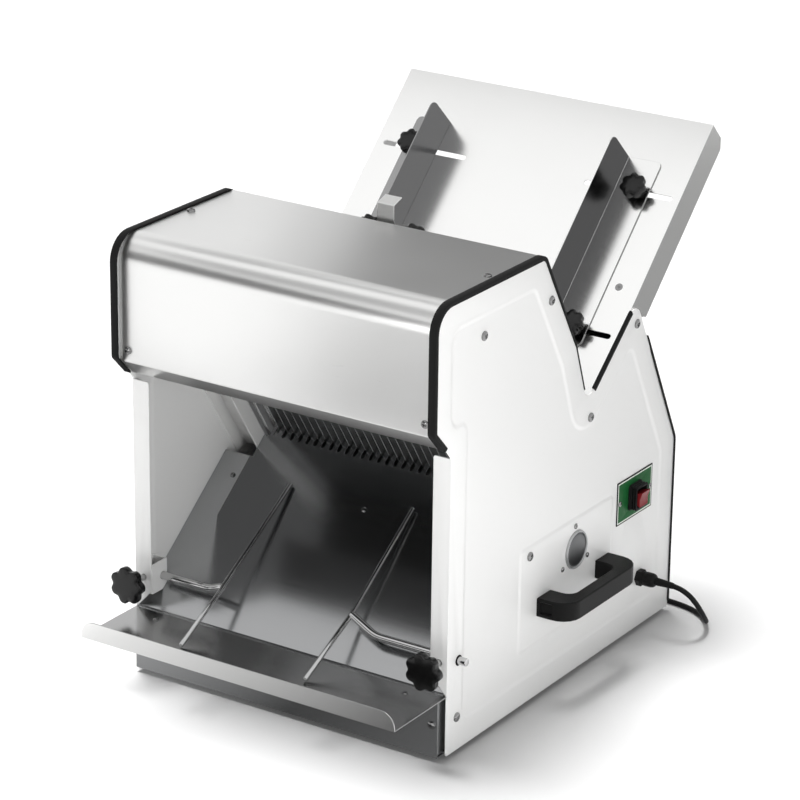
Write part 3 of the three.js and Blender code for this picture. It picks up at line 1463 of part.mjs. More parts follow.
// Plug lying beside the coil: neck, round body and two pins
function mainsPlug() {
  const start = tail[tail.length - 1];
  const neckEnd = start.x - fit - plugNeckLength;
  const bodyEnd = neckEnd - plugLength;
  const profile = [
    [0, 0], [plugNeckRadius, 0], [plugNeckRadius, plugNeckLength],
    [plugRadius - sheet, plugNeckLength + plugLength / 3], [plugRadius, plugLength],
    [plugRadius - sheet, plugNeckLength + plugLength], [0, plugNeckLength + plugLength],
  ].map(([a, b]) => new THREE.Vector2(a, b));
  const body = new THREE.LatheGeometry(profile, 20).rotateZ(Math.PI / 2);
  body.translate(start.x - fit, start.y, start.z);
  const pins = sides.map((side) => {
    const y = start.y + side * plugPinHalfSpacing;
    return solid(cylinderX(plugPinRadius, bodyEnd - plugPinLength, bodyEnd + fit, y, start.z, 10));
  });
  return geometryOf(join([solid(body), ...pins]));
}
place(machine, 'plug', mainsPlug(), blackPlastic);

// The origin goes to the middle of the machine's box, on the floor; the lead is left out of that box
const leadNames = ['cord', 'cord_coil', 'cord_tail', 'plug'];
const bounds = new THREE.Box3();
machine.updateMatrixWorld(true);
machine.traverse((item) => {
  if (item.isMesh && !leadNames.includes(item.name)) bounds.expandByObject(item, true);
});
const middle = bounds.getCenter(new THREE.Vector3());
machine.position.set(-middle.x, -middle.y, -bounds.min.z);
console.log(`origin shift: ${machine.position.toArray().map((value) => value.toFixed(3)).join(', ')}`);
const size = bounds.getSize(new THREE.Vector3()).toArray();
console.log(`size: ${size.map((value) => value.toFixed(1)).join(' x ')} mm`);

const slicer = new THREE.Group();
slicer.name = 'bread_slicer';
slicer.add(machine);

export default slicer;
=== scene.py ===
"""Looks of a commercial bread slicer, dressed over its packed model.

The packed model gives every piece its size and place. This file gives the pieces their finishes, rounds their
edges, and adds the smooth surfaces, screws and lead that the plain solids leave out.
Sizes are in millimetres in the machine's own frame: X across, Y to the rear from the panels' front flange,
Z up from the panels' lower edge.
"""

import json
import math

import bmesh
import bpy
import numpy as np
from bpy.props import FloatProperty, FloatVectorProperty, IntProperty, PointerProperty
from mathutils import Matrix, Vector
from mathutils.geometry import tessellate_polygon

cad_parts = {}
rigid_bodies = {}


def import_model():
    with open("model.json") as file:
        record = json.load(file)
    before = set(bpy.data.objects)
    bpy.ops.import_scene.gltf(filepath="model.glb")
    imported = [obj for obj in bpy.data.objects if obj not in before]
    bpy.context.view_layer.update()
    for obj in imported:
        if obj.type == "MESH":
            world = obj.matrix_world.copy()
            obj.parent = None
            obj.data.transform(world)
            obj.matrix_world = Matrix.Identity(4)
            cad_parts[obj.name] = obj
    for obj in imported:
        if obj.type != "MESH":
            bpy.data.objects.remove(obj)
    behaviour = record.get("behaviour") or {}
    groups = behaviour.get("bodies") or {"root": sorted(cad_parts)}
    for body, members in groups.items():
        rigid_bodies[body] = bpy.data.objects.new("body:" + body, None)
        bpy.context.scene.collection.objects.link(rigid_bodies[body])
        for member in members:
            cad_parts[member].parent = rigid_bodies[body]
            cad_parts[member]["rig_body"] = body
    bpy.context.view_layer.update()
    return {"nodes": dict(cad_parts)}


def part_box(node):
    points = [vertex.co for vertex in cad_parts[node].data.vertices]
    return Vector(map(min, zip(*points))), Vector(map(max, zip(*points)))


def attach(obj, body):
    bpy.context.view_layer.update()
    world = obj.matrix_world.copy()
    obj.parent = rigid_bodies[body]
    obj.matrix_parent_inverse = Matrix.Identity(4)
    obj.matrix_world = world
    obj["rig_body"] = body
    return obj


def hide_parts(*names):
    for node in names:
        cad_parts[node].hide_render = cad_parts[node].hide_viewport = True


bl_info = {
    "name": "Bread slicer looks",
    "version": (1, 0, 0),
    "blender": (4, 5, 0),
    "location": "View3D > Sidebar > Slicer",
    "description": "Finishes, smooth surfaces, screws and lead of a commercial bread slicer",
    "category": "Object",
}

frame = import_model()

MM = 0.001
CROWN_FRONT = -36.0
MACHINE_ZERO = np.array([0.0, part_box("side_panel_left")[0].y - CROWN_FRONT * MM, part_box("side_panel_left")[0].z])
SIDES = {"left": -1, "right": 1}


def linear(hex_colour):
    """sRGB hex to linear red, green, blue: a straight line up to 0.04045 and a power of 2.4 above it."""
    srgb = np.array([int(hex_colour[i : i + 2], 16) for i in (1, 3, 5)]) / 255
    rgb = np.where(srgb <= 0.04045, srgb / 12.92, ((srgb + 0.055) / 1.055) ** 2.4)
    return tuple(rgb.tolist())


def colour_setting(name, description, hex_colour):
    """A colour that the user can change."""
    return FloatVectorProperty(
        name=name, description=description, subtype="COLOR", size=3, min=0, max=1, default=linear(hex_colour)
    )


def length_setting(name, description, millimetres):
    """A length that the user can change, kept in metres."""
    return FloatProperty(
        name=name, description=description, subtype="DISTANCE", unit="LENGTH", min=0, default=millimetres * MM
    )


def share_setting(name, description, share):
    """A share that the user can change."""
    return FloatProperty(name=name, description=description, subtype="FACTOR", min=0, max=1, default=share)


def light_setting(name, description, strength, subtype="NONE"):
    """A strength or power of light that the user can change."""
    return FloatProperty(name=name, description=description, subtype=subtype, min=0, default=strength)


class FinishColours(bpy.types.PropertyGroup):
    """Colours of the finishes."""

    white_coat: colour_setting("White coat", "Powder coat on the side panels", "#ececeb")
    stainless: colour_setting("Stainless", "Satin stainless sheet", "#ebebea")
    # the left guide's foot is painted grey, darker than the same stainless on the right guide's foot: painted shade
    foot: colour_setting("Foot stainless", "Foot of the left guide", "#9c9c9c")
    chute: colour_setting("Chute stainless", "Bright stainless sheet of the chute", "#f1f1f0")
    mirror_stainless: colour_setting("Dark stainless", "Bright annealed stainless sheet of the slide", "#adaeaf")
    tray: colour_setting("Tray stainless", "Bright annealed stainless sheet of the tray", "#b2b2b2")
    # the guides' walls are the same stainless as the chute, painted dark as the reflection and shade they mirror; the
    # right wall's colour is a copy painted darker still as shade
    guide: colour_setting("Guide stainless", "Upright walls of the guides", "#6c6c6d")
    right_guide_shade_colour: colour_setting("Dark guide stainless", "Upright wall of the right guide", "#464647")
    screw: colour_setting("Screw steel", "Heads of the screws", "#8e8e8e")
    rail: colour_setting("Rail enamel", "Pale enamel on the blades' rails", "#dededd")
    cap: colour_setting("Bearing cap", "Dark plated end caps of the bearings", "#6b6c6d")
    chrome: colour_setting("Chrome", "Polished rods", "#c6c6c6")
    blade: colour_setting("Blade steel", "Ground spring steel", "#c3c4c5")
    aluminium: colour_setting("Cast aluminium", "Rails and bearing housings", "#b4b5b6")
    zinc: colour_setting("Zinc plate", "Plated sheet inside the machine", "#a6a8a8")
    rubber: colour_setting("Rubber", "Edge trim and feet", "#161616")
    nylon: colour_setting("Nylon", "Handles, gland and switch boot", "#141414")
    phenolic: colour_setting("Phenolic", "Star knobs", "#0b0b0b")
    plate_green: colour_setting("Plate green", "Ground of the switch plate", "#1d5b2f")
    plate_border: colour_setting("Plate border", "Printed border of the switch plate", "#dfe6dd")
    rocker_red: colour_setting("Rocker red", "Translucent rocker", "#7a2024")
    enamel: colour_setting("Motor enamel", "Enamel on the motor", "#565c60")
    floor: colour_setting("Floor", "Plain pale floor", "#f0f0f0")


class PanelSizes(bpy.types.PropertyGroup):
    """Pressings of the side panels."""

    thick: length_setting("Sheet", "Thickness of the panel's pressed shell", 2.5)
    edge: length_setting("Edge", "Rounding of the panel's edge", 1.2)
    border: length_setting("Border", "Width of the flat border round the pressed field", 31.5)
    ramp: length_setting("Ramp", "Width of the slope into the field", 7)
    depth: length_setting("Depth", "Depth of the field below the border", 1.3)
    pad_ramp: length_setting("Pad ramp", "Width of the slope up to the bearing's pad", 6)
    pad_depth: length_setting("Pad depth", "Depth of the bearing's pad below the border", 0.15)


class EdgeSizes(bpy.types.PropertyGroup):
    """How far the edges of each kind of piece are rounded."""

    sheet_edge: length_setting("Sheet edge", "Radius on the cut edges of sheet metal", 0.35)
    cast_edge: length_setting("Cast edge", "Radius on cast and turned pieces", 0.8)
    moulded_edge: length_setting("Moulded edge", "Radius on moulded pieces", 1.6)
    rubber_edge: length_setting("Rubber edge", "Radius on the rubber trim", 0.9)
    blade_edge: length_setting("Blade edge", "Radius on the blades and their bars", 0.2)


class KnobSizes(bpy.types.PropertyGroup):
    """Star knobs."""

    lobes: IntProperty(name="Lobes", description="Lobes round each star knob", min=3, max=12, default=7)
    wave: share_setting("Wave", "Depth of the hollows between lobes, as a share of the radius", 0.17)
    thick: length_setting("Head thickness", "Thickness of the knob's head", 13)
    dome: length_setting("Dome", "Rise of the head's face from its rim to its middle", 1.8)
    edge: length_setting("Edge", "Rounding of the head's rim", 1.3)
    clamp_radius: length_setting("Clamp knob radius", "Radius of the knobs that clamp the outfeed rods", 24.6)
    guide_radius: length_setting("Guide knob radius", "Radius of the knobs on the guides", 17.2)
    height_radius: length_setting("Height knob radius", "Radius of the knobs on the height plate", 19)


class ScrewSizes(bpy.types.PropertyGroup):
    """Pan-head screws."""

    panel_radius: length_setting("Panel screw radius", "Radius of the large screw heads on the panels", 6)
    panel_height: length_setting("Panel screw height", "Height of the large screw heads", 3.4)
    cover_radius: length_setting("Cover screw radius", "Radius of the screw heads on the cover and chute", 5.2)
    cover_height: length_setting("Cover screw height", "Height of the screw heads on the cover and chute", 3.0)
    small_radius: length_setting("Small screw radius", "Radius of the small screw heads", 3.6)
    small_height: length_setting("Small screw height", "Height of the small screw heads", 2.2)
    recess: share_setting("Cross recess", "Half length of the cross recess, as a share of the head radius", 0.5)


class LeadSizes(bpy.types.PropertyGroup):
    """Mains lead."""

    diameter: length_setting("Diameter", "Diameter of the lead's sheath", 7)
    inner_radius: length_setting("Inner turn", "Radius of the coil's innermost turn", 28)
    pitch: length_setting("Turn spacing", "Spacing of neighbouring turns", 7.7)
    layer: length_setting("Layer rise", "Rise from the lower to the upper layer of turns", 7.5)
    turns: IntProperty(name="Turns", description="Turns of the coil", min=2, max=24, default=6)


class StudioSettings(bpy.types.PropertyGroup):
    """Lamps, floor and camera."""

    key: light_setting("Key light", "Strength of the wide light above the left front", 3.6)
    side: light_setting("Side lamp", "Power of the lamp on the right", 5.5, "POWER")
    fill: light_setting("Front fill", "Power of the lamp in front of the left side", 3.2, "POWER")
    ambient: light_setting("Ambient", "Strength of the world's light on matt surfaces", 0.26)
    floor_glow: light_setting("Floor glow", "Light of the floor's own that only the camera and gloss see", 0.03)


GROUPS = {
    "slicer_colours": FinishColours,
    "slicer_panels": PanelSizes,
    "slicer_edges": EdgeSizes,
    "slicer_knobs": KnobSizes,
    "slicer_screws": ScrewSizes,
    "slicer_lead": LeadSizes,
    "slicer_studio": StudioSettings,
}


# Surfaces


def row(points):
    """Machine millimetres to the packed model's metres: scaled, then moved by the machine's zero."""
    return np.asarray(points, float) * MM + MACHINE_ZERO


def grid_faces(rows, columns, close_rows):
    """Quads of closed rows of points numbered row by row: each joins a point to its next neighbours."""
    i = np.arange(rows if close_rows else rows - 1)[:, None]
    j = np.arange(columns)[None, :]
    here = i * columns + j
    right = i * columns + (j + 1) % columns
    above = (i + 1) % rows * columns + j
    both = (i + 1) % rows * columns + (j + 1) % columns
    return np.stack([here, right, both, above], -1).reshape(-1, 4)


def skin(rings, cap_start=True, cap_end=True, close_rows=False):
    """Closed skin over rings of points: quads between neighbouring rings and one face over each open end."""
    rings = np.asarray(rings, float)
    rows, columns = rings.shape[:2]
    faces = grid_faces(rows, columns, close_rows).tolist()
    if cap_start and not close_rows:
        faces.append(list(range(columns))[::-1])
    if cap_end and not close_rows:
        faces.append(list(range((rows - 1) * columns, rows * columns)))
    return rings.reshape(-1, 3), faces


def joined(skins):
    """Several skins as one list of points and faces, each skin's numbers moved on by the points before it."""
    points = np.concatenate([p for p, _ in skins])
    starts = np.cumsum([0] + [len(p) for p, _ in skins[:-1]])
    faces = [[corner + start for corner in face] for start, (_, fs) in zip(starts, skins) for face in fs]
    return points, faces


def new_piece(name, points, faces, finish, smooth=35.0):
    """A piece at the origin with its place in its mesh: doubles merged and faces turned outwards."""
    mesh = bpy.data.meshes.new(name)
    mesh.from_pydata(np.asarray(points).tolist(), [], faces)
    work = bmesh.new()
    work.from_mesh(mesh)
    bmesh.ops.remove_doubles(work, verts=work.verts, dist=SAME_PLACE)
    bmesh.ops.dissolve_degenerate(work, edges=work.edges, dist=NO_LENGTH)
    bmesh.ops.recalc_face_normals(work, faces=work.faces)
    work.to_mesh(mesh)
    work.free()
    return shaded(name, mesh, finish, smooth)


def shaded(name, mesh, finish, smooth):
    """A mesh as a piece in the scene: smooth but for the edges that turn by more than the angle."""
    mesh.shade_smooth()
    mesh.set_sharp_from_angle(angle=math.radians(smooth))
    mesh.materials.append(finish)
    piece = bpy.data.objects.new(name, mesh)
    bpy.context.scene.collection.objects.link(piece)
    return piece


def said(piece, slot, body, *nodes):
    """Hides the packed nodes that a piece stands for and hangs the piece on the body that it rides on; the slot is not
    used.
    """
    if nodes:
        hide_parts(*nodes)
    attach(piece, body)


# metres within which two points are one, and below which an edge has no length
SAME_PLACE, NO_LENGTH = 2e-6, 1e-6
# degrees by which an edge turns that stays sharp, that is rounded, and that is merged away as flat
SHARP_ANGLE, ROUNDED_ANGLE, FLAT_ANGLE = 40.0, 42.0, 0.5


def dressed(node, finish, edge, slot):
    """A finished copy of a packed node: its loose triangles joined, flat runs merged and its edges rounded. The faces
    whose normal lies in a given range get a second finish, lighter or darker than the first, which paints light and
    shade on them by the way they face."""
    source = frame["nodes"][node].data
    corners = np.zeros(len(source.vertices) * 3)
    source.vertices.foreach_get("co", corners)
    loops = np.zeros(len(source.loops), int)
    source.loops.foreach_get("vertex_index", loops)
    points, place = np.unique(np.round(corners.reshape(-1, 3), 6), axis=0, return_inverse=True)
    faces = place.reshape(-1)[loops].reshape(-1, 3)
    mesh = bpy.data.meshes.new(node + "_finished")
    mesh.from_pydata(points.tolist(), [], faces.tolist())
    work = bmesh.new()
    work.from_mesh(mesh)
    bmesh.ops.dissolve_degenerate(work, edges=work.edges, dist=NO_LENGTH)
    bmesh.ops.dissolve_limit(work, angle_limit=math.radians(FLAT_ANGLE), verts=work.verts, edges=work.edges)
    work.to_mesh(mesh)
    work.free()
    piece = shaded(node + "_finished", mesh, finish, SHARP_ANGLE)
    # painted light and shade: faces picked by their normal get the lighter or darker finish
    if node in PAINTED_LIGHT_BY_FACING:
        second, axis, low, high = PAINTED_LIGHT_BY_FACING[node]
        mesh.materials.append(finishes[second])
        normals = np.zeros(len(mesh.polygons) * 3)
        mesh.polygons.foreach_get("normal", normals)
        along = normals.reshape(-1, 3)[:, axis]
        mesh.polygons.foreach_set("material_index", ((along > low) & (along < high)).astype(int))
    bevel = piece.modifiers.new("rounded edges", "BEVEL")
    bevel.width = edge
    bevel.segments = 2
    bevel.limit_method = "ANGLE"
    bevel.angle_limit = math.radians(ROUNDED_ANGLE)
    bevel.use_clamp_overlap = False
    bevel.harden_normals = True
    weighted = piece.modifiers.new("flats stay flat", "WEIGHTED_NORMAL")
    weighted.keep_sharp = True
    said(piece, slot, frame["nodes"][node]["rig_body"], node)


def circle(count):
    """Angles evenly round a circle, the start not repeated."""
    return np.arange(count) * 2 * np.pi / count


def around(axis, steps):
    """Directions square to an axis: cos * aside + sin * across, where aside is square to a fixed slanting line."""
    aside = np.cross(axis, [0.31, 0.53, 0.79])
    aside /= np.linalg.norm(aside)
    turn = circle(steps)[:, None]
    return np.cos(turn) * aside + np.sin(turn) * np.cross(axis, aside)


def revolved(profile, start, axis, steps=32):
    """A profile of (radius, height) pairs turned round an axis: start + axis * height + radius around it."""
    profile = np.asarray(profile, float)[:, :, None, None]
    return np.asarray(start) + profile[:, 1] * np.asarray(axis, float) + profile[:, 0] * around(axis, steps)


def smooth_path(points, steps):
    """Centripetal Catmull-Rom line through points: cubic between neighbours, the slope at each point the mean of the
    slopes on either side weighted by the other side's knot distance."""
    points = np.asarray(points, float)
    knots = np.sqrt(np.linalg.norm(np.diff(points, axis=0), axis=1))[:, None]
    slopes = np.diff(points, axis=0) / knots
    inner = (slopes[:-1] * knots[1:] + slopes[1:] * knots[:-1]) / (knots[:-1] + knots[1:])
    tangents = np.concatenate([slopes[:1], inner, slopes[-1:]])
    s = (np.arange(steps) / steps)[None, :, None]
    start, end = points[:-1, None], points[1:, None]
    out, back = tangents[:-1, None] * knots[:, None], tangents[1:, None] * knots[:, None]
    line = (2 * s**3 - 3 * s**2 + 1) * start + (s**3 - 2 * s**2 + s) * out
    line = line + (3 * s**2 - 2 * s**3) * end + (s**3 - s**2) * back
    return np.concatenate([line.reshape(-1, 3), points[-1:]])


def tube(path, radii, sides=14):
    """Rings round a path: each point plus the radius times the section's cosine and sine along two directions square
    to the path, the first of them level."""
    path = np.asarray(path, float)
    along = np.gradient(path, axis=0)
    along /= np.linalg.norm(along, axis=1, keepdims=True)
    aside = np.cross(along, (0, 0, 1))
    aside /= np.linalg.norm(aside, axis=1, keepdims=True)
    across = np.cross(aside, along)
    turn = circle(sides)[None, :, None]
    radii = np.broadcast_to(radii, len(path))[:, None, None]
    return path[:, None] + radii * (np.cos(turn) * aside[:, None] + np.sin(turn) * across[:, None])


def rounded(corners, inward=0.0, arcs=8, least=0.6, guard=0.8):
    """Closed outline with rounded corners (u, v, radius), moved inwards. A corner slides along its mitre by
    inward * (n0 + n1) / (1 + n0.n1), where n0 and n1 are its sides' inward normals. Its radius shrinks by the
    distance where the outline bulges and grows where it is hollow. The arc is centre + radius * (cos, sin), and a
    guard point on either side keeps the flats next to it flat."""
    corners = np.asarray(corners, float)
    place, radius = corners[:, :2], corners[:, 2]
    ahead = np.roll(place, -1, 0) - place
    ahead /= np.linalg.norm(ahead, axis=1, keepdims=True)
    before = np.roll(ahead, 1, 0)
    turn = np.arctan2(before[:, 0] * ahead[:, 1] - before[:, 1] * ahead[:, 0], (before * ahead).sum(1))
    facing = np.sign(turn.sum())
    n0, n1 = (facing * np.stack([-d[:, 1], d[:, 0]], 1) for d in (before, ahead))
    bulges = turn * facing > 0
    place = place + inward * (n0 + n1) / (1 + (n0 * n1).sum(1))[:, None]
    radius = np.where(bulges, np.maximum(radius - inward, least), np.maximum(radius + inward, least))
    reach = (radius * np.tan(np.abs(turn) / 2))[:, None]
    start, end = place - before * reach, place + ahead * reach
    centre = start + n0 * np.where(bulges, radius, -radius)[:, None]
    arm = (start - centre)[:, None]
    angle = (turn[:, None] * np.linspace(0, 1, arcs + 1))[..., None]
    arc = centre[:, None] + np.cos(angle) * arm + np.sin(angle) * np.stack([-arm[..., 1], arm[..., 0]], -1)
    straight = np.linalg.norm(np.roll(place, -1, 0) - place, axis=1) - reach[:, 0] - np.roll(reach[:, 0], -1)
    after = np.clip(0.4 * straight, 0, guard)[:, None]
    parts = [(start - before * np.roll(after, 1, 0))[:, None], arc, (end + ahead * after)[:, None]]
    return np.concatenate(parts, 1).reshape(-1, 2)


def strip(path, thick):
    """Section of a bent sheet: the path's corners (u, v, radius) and, coming back, the same corners moved to the
    path's left by the thickness along their mitres, the radius less by the thickness at left bends."""
    path = np.asarray(path, float)
    heading = np.diff(path[:, :2], axis=0)
    heading /= np.linalg.norm(heading, axis=1, keepdims=True)
    left = np.stack([-heading[:, 1], heading[:, 0]], 1)
    n0, n1 = np.concatenate([left[:1], left]), np.concatenate([left, left[-1:]])
    moved = path[:, :2] + thick * (n0 + n1) / (1 + (n0 * n1).sum(1))[:, None]
    bend = np.sign(heading[:-1, 0] * heading[1:, 1] - heading[:-1, 1] * heading[1:, 0])
    bend = np.concatenate([[0], bend, [0]])
    radius = np.where(bend == 0, path[:, 2], np.maximum(path[:, 2] - thick * bend, 0.2))
    return np.concatenate([path, np.column_stack([moved, radius])[::-1]])


def band(outline, steps, **options):
    """Rings round an outline, one for each (inward, height) pair."""
    return np.stack([np.column_stack([loop, np.full(len(loop), height)]) for loop, height in
                     ((rounded(outline, inward, **options), height) for inward, height in steps)])


def flat(loops, height):
    """The flat between an outer loop and the loops in it, cut in triangles."""
    cut = tessellate_polygon([[Vector((u, v, 0)) for u, v in loop] for loop in loops])
    points = np.concatenate(loops)
    return np.column_stack([points, np.full(len(points), height)]), [list(face) for face in cut]


def quarter_round(edge, half, steps=3):
    """(inward, depth) pairs from the middle of a sheet's edge over a quarter circle to its face."""
    angle = np.linspace(0, np.pi / 2, steps + 1)
    arc = np.stack([edge * (1 - np.cos(angle)), edge * (1 - np.sin(angle))], 1)
    return [(0, half)] * (edge < half - 1e-6) + arc.tolist()


def pressed_sheet(outline, thick, edge, pressings=(), holes=(), **options):
    """A sheet with rounded edges, pressed fields and holes, as points (u, v, height) and faces. A pressing is
    (outline, inward, width, height): its band goes from the height round it to its own as 3 t^2 - 2 t^3. A hole is
    (outline, level), where level 0 is the border and 1, 2 are the pressings' flats. The back face is the front
    moved down by the thickness."""
    rim = quarter_round(edge, thick / 2)
    fine = quarter_round(min(edge, 0.5), thick / 2)
    levels = [0.0] + [height for *_, height in pressings]
    skins = []
    for sign, base in ((1, 0.0), (-1, -thick)):
        outer = rounded(outline, rim[-1][0], **options)
        skins.append(skin(band(outline, [(i, base - sign * d) for i, d in rim], **options), False, False))
        for number, level in enumerate(levels):
            inner = [rounded(shape, -fine[-1][0], **options) for shape, at in holes if at == number]
            if number < len(pressings):
                shape, start, width, height = pressings[number]
                t = np.linspace(0, 1, 7)
                rise = base + level + (height - level) * (3 * t**2 - 2 * t**3)
                steps = [(start - 1, rise[0]), *zip(start + width * t, rise), (start + width + 1, rise[-1])]
                ramp = band(shape, steps, **options)
                skins.append(skin(ramp, False, False))
                inner.append(ramp[0, :, :2])
            skins.append(flat([outer, *inner], base + level))
            if number < len(pressings):
                outer = ramp[-1, :, :2]
        for shape, at in holes:
            rings = [(-i, base + levels[at] - sign * d) for i, d in fine]
            skins.append(skin(band(shape, rings, **options), False, False))
    return joined(skins)


def square(u0, v0, u1, v1, radius):
    """Corners of a rectangle with one radius."""
    return [(u0, v0, radius), (u1, v0, radius), (u1, v1, radius), (u0, v1, radius)]


def centred(u, v, wide, high, radius):
    """Corners of a rectangle round a middle, by half its width and height."""
    return square(u - wide, v - high, u + wide, v + high, radius)


def ring(u, v, radius):
    """Corners of a circle: a square whose corner radius is half its side."""
    return centred(u, v, radius, radius, radius)


def tilted(points, origin, degrees):
    """Points turned about X by the angle and moved to the origin: y cos - z sin, y sin + z cos."""
    points = np.asarray(points, float)
    c, s = math.cos(math.radians(degrees)), math.sin(math.radians(degrees))
    x, y, z = points[..., 0], points[..., 1], points[..., 2]
    return np.stack([x, y * c - z * s, y * s + z * c], -1) + np.asarray(origin, float)


def bar(corners, radius, reach, end=0.8, sides=18):
    """Bent round bar: straight between bends, each bend the quadratic curve (1-t)^2 entry + 2t(1-t) corner +
    t^2 exit, and at either end a quarter round of rings whose radius is that of the bar less end * (1 - cos)."""
    corners = np.asarray(corners, float)
    heading = np.diff(corners, axis=0)
    heading /= np.linalg.norm(heading, axis=1, keepdims=True)
    t = np.linspace(0, 1, 9)[None, :, None]
    entry, exit_ = corners[1:-1] - heading[:-1] * reach, corners[1:-1] + heading[1:] * reach
    bends = (1 - t) ** 2 * entry[:, None] + 2 * t * (1 - t) * corners[1:-1, None] + t**2 * exit_[:, None]
    a = np.linspace(0, np.pi / 2, 4)
    first = corners[0] + heading[0] * (end * (1 - np.cos(a)))[:, None]
    last = corners[-1] - heading[-1] * (end * (1 - np.cos(a[::-1])))[:, None]
    path = np.concatenate([first, bends.reshape(-1, 3), last])
    radii = np.full(len(path), float(radius))
    radii[:4] -= end * (1 - np.sin(a))
    radii[-4:] = radii[:4][::-1]
    return skin(tube(path, radii, sides))


# Finishes


def add(tree, kind, values=None, links=None, **settings):
    """Adds a shader node with its settings, its sockets' values and the outputs that feed its sockets."""
    made = tree.nodes.new("ShaderNode" + kind)
    for name, value in settings.items():
        setattr(made, name, value)
    for socket, value in (values or {}).items():
        made.inputs[socket].default_value = value
    for socket, source in (links or {}).items():
        tree.links.new(source, made.inputs[socket])
    return made


def new_finish(name):
    """An empty material with its node tree."""
    finish = bpy.data.materials.new(name)
    finish.use_nodes = True
    finish.node_tree.nodes.clear()
    return finish, finish.node_tree


def grain_of(tree, size, detail, roughness=0.5):
    """Noise on Object coordinates whose grain is size mm wide, or size mm along X, Y and Z."""
    place = add(tree, "TexCoord").outputs["Object"]
    scale = [1 / (width * MM) for width in np.broadcast_to(size, 3).tolist()]
    scaled = add(tree, "Mapping", {"Scale": scale}, {"Vector": place})
    values = {"Scale": 1.0, "Detail": detail, "Roughness": roughness}
    return add(tree, "TexNoise", values, {"Vector": scaled.outputs["Vector"]}).outputs["Fac"]


def range_of(source, *limits):
    """A value's low and high and what they become, for a Map Range node."""
    return dict(zip(("From Min", "From Max", "To Min", "To Max"), limits)), {"Value": source}


def surface(tree, height, lift, depth, rough, colour, **values):
    """Ends a finish: the height lifts the surface by a share of the depth in mm. The roughness is one number, or what
    range_of gives."""
    bump = add(tree, "Bump", {"Strength": lift, "Distance": depth * MM}, {"Height": height})
    values = {"Base Color": (*colour, 1)} | {name.replace("_", " "): value for name, value in values.items()}
    links = {"Normal": bump.outputs["Normal"]}
    if isinstance(rough, float):
        values["Roughness"] = rough
    else:
        links["Roughness"] = add(tree, "MapRange", *rough).outputs["Result"]
    body = add(tree, "BsdfPrincipled", values, links)
    add(tree, "OutputMaterial", links={"Surface": body.outputs["BSDF"]})


def powder_coat(name, colour, gloss=0.5):
    """Polyester powder coat: a smooth white film with a very fine orange peel, so its gloss is soft."""
    finish, tree = new_finish(name)
    # the peel's real grain of about 0.7 mm is drawn at 2.5 mm, or it wouldn't show
    rough = range_of(grain_of(tree, 90, 3), 0.3, 0.7, 0.3, 0.4)
    surface(tree, grain_of(tree, 2.5, 2), 0.05, 0.1, rough, colour, IOR=1.5, Specular_IOR_Level=gloss)
    return finish


def brushed_metal(name, colour, roughness, grain, grain_axis=0, spread=0.03):
    """Rolled or brushed metal: fine lines along one axis lift the surface and vary its gloss across them."""
    finish, tree = new_finish(name)
    # the lines' real spacing of about 0.2 mm is drawn coarser, or it wouldn't show
    size = np.full(3, float(grain))
    size[grain_axis] *= 60
    lines = grain_of(tree, size, 4, 0.65)
    both = add(tree, "Math", operation="ADD", links={0: lines, 1: grain_of(tree, 140, 2)}).outputs["Value"]
    rough = range_of(both, 0.6, 1.4, roughness - spread, roughness + spread)
    surface(tree, lines, 0.02, 0.05, rough, colour, Metallic=1.0)
    return finish


def grained_metal(name, colour, roughness, grain, strength):
    """Cast, plated or enamelled metal: an even fine grain, so its gloss breaks up softly."""
    finish, tree = new_finish(name)
    surface(tree, grain_of(tree, grain, 3), strength, 0.15, roughness, colour, Metallic=1.0)
    return finish


def moulded(name, colour, roughness, grain, strength, ior=1.5, gloss=0.12):
    """Moulded plastic or rubber: the mould's grain on a dark body, and a little more gloss where it was polished."""
    finish, tree = new_finish(name)
    specks = grain_of(tree, grain, 3)
    rough = range_of(specks, 0.3, 0.7, roughness * 0.85, roughness * 1.15)
    surface(tree, specks, strength, 0.12, rough, colour, IOR=ior, Specular_IOR_Level=gloss)
    return finish


def printed_plate(name, ground, line, edge):
    """Printed plate by the distance from its own edge, the larger of |y| and |z| from its middle less its half size:
    a dark edge to 1.7 mm, a pale line to 3.4 mm inside it and the ground colour."""
    finish = moulded(name, ground, 0.35, 3.0, 0.02)
    tree = finish.node_tree
    y0, z0, y1, z1 = PLATE
    middle = tuple(row((HALF, (y0 + y1) / 2, (z0 + z1) / 2)))
    half = (1.0, (y1 - y0) / 2 * MM, (z1 - z0) / 2 * MM)
    away = add(tree, "TexCoord").outputs["Object"]
    for step, values in (("SUBTRACT", {1: middle}), ("ABSOLUTE", {}), ("SUBTRACT", {1: half})):
        away = add(tree, "VectorMath", values, {0: away}, operation=step).outputs["Vector"]
    away = add(tree, "SeparateXYZ", links={"Vector": away}).outputs
    away = add(tree, "Math", links={0: away["Y"], 1: away["Z"]}, operation="MAXIMUM").outputs["Value"]
    below = {}
    for inside, ink in ((3.4, line), (1.7, edge)):
        here = add(tree, "Math", {1: -inside * MM}, {0: away}, operation="GREATER_THAN").outputs["Value"]
        colours = {6: (*ground, 1), 7: (*ink, 1)}
        mixed = add(tree, "Mix", colours, {0: here, **below}, data_type="RGBA").outputs[2]
        below = {6: mixed}
    tree.links.new(mixed, tree.nodes["Principled BSDF"].inputs["Base Color"])
    return finish


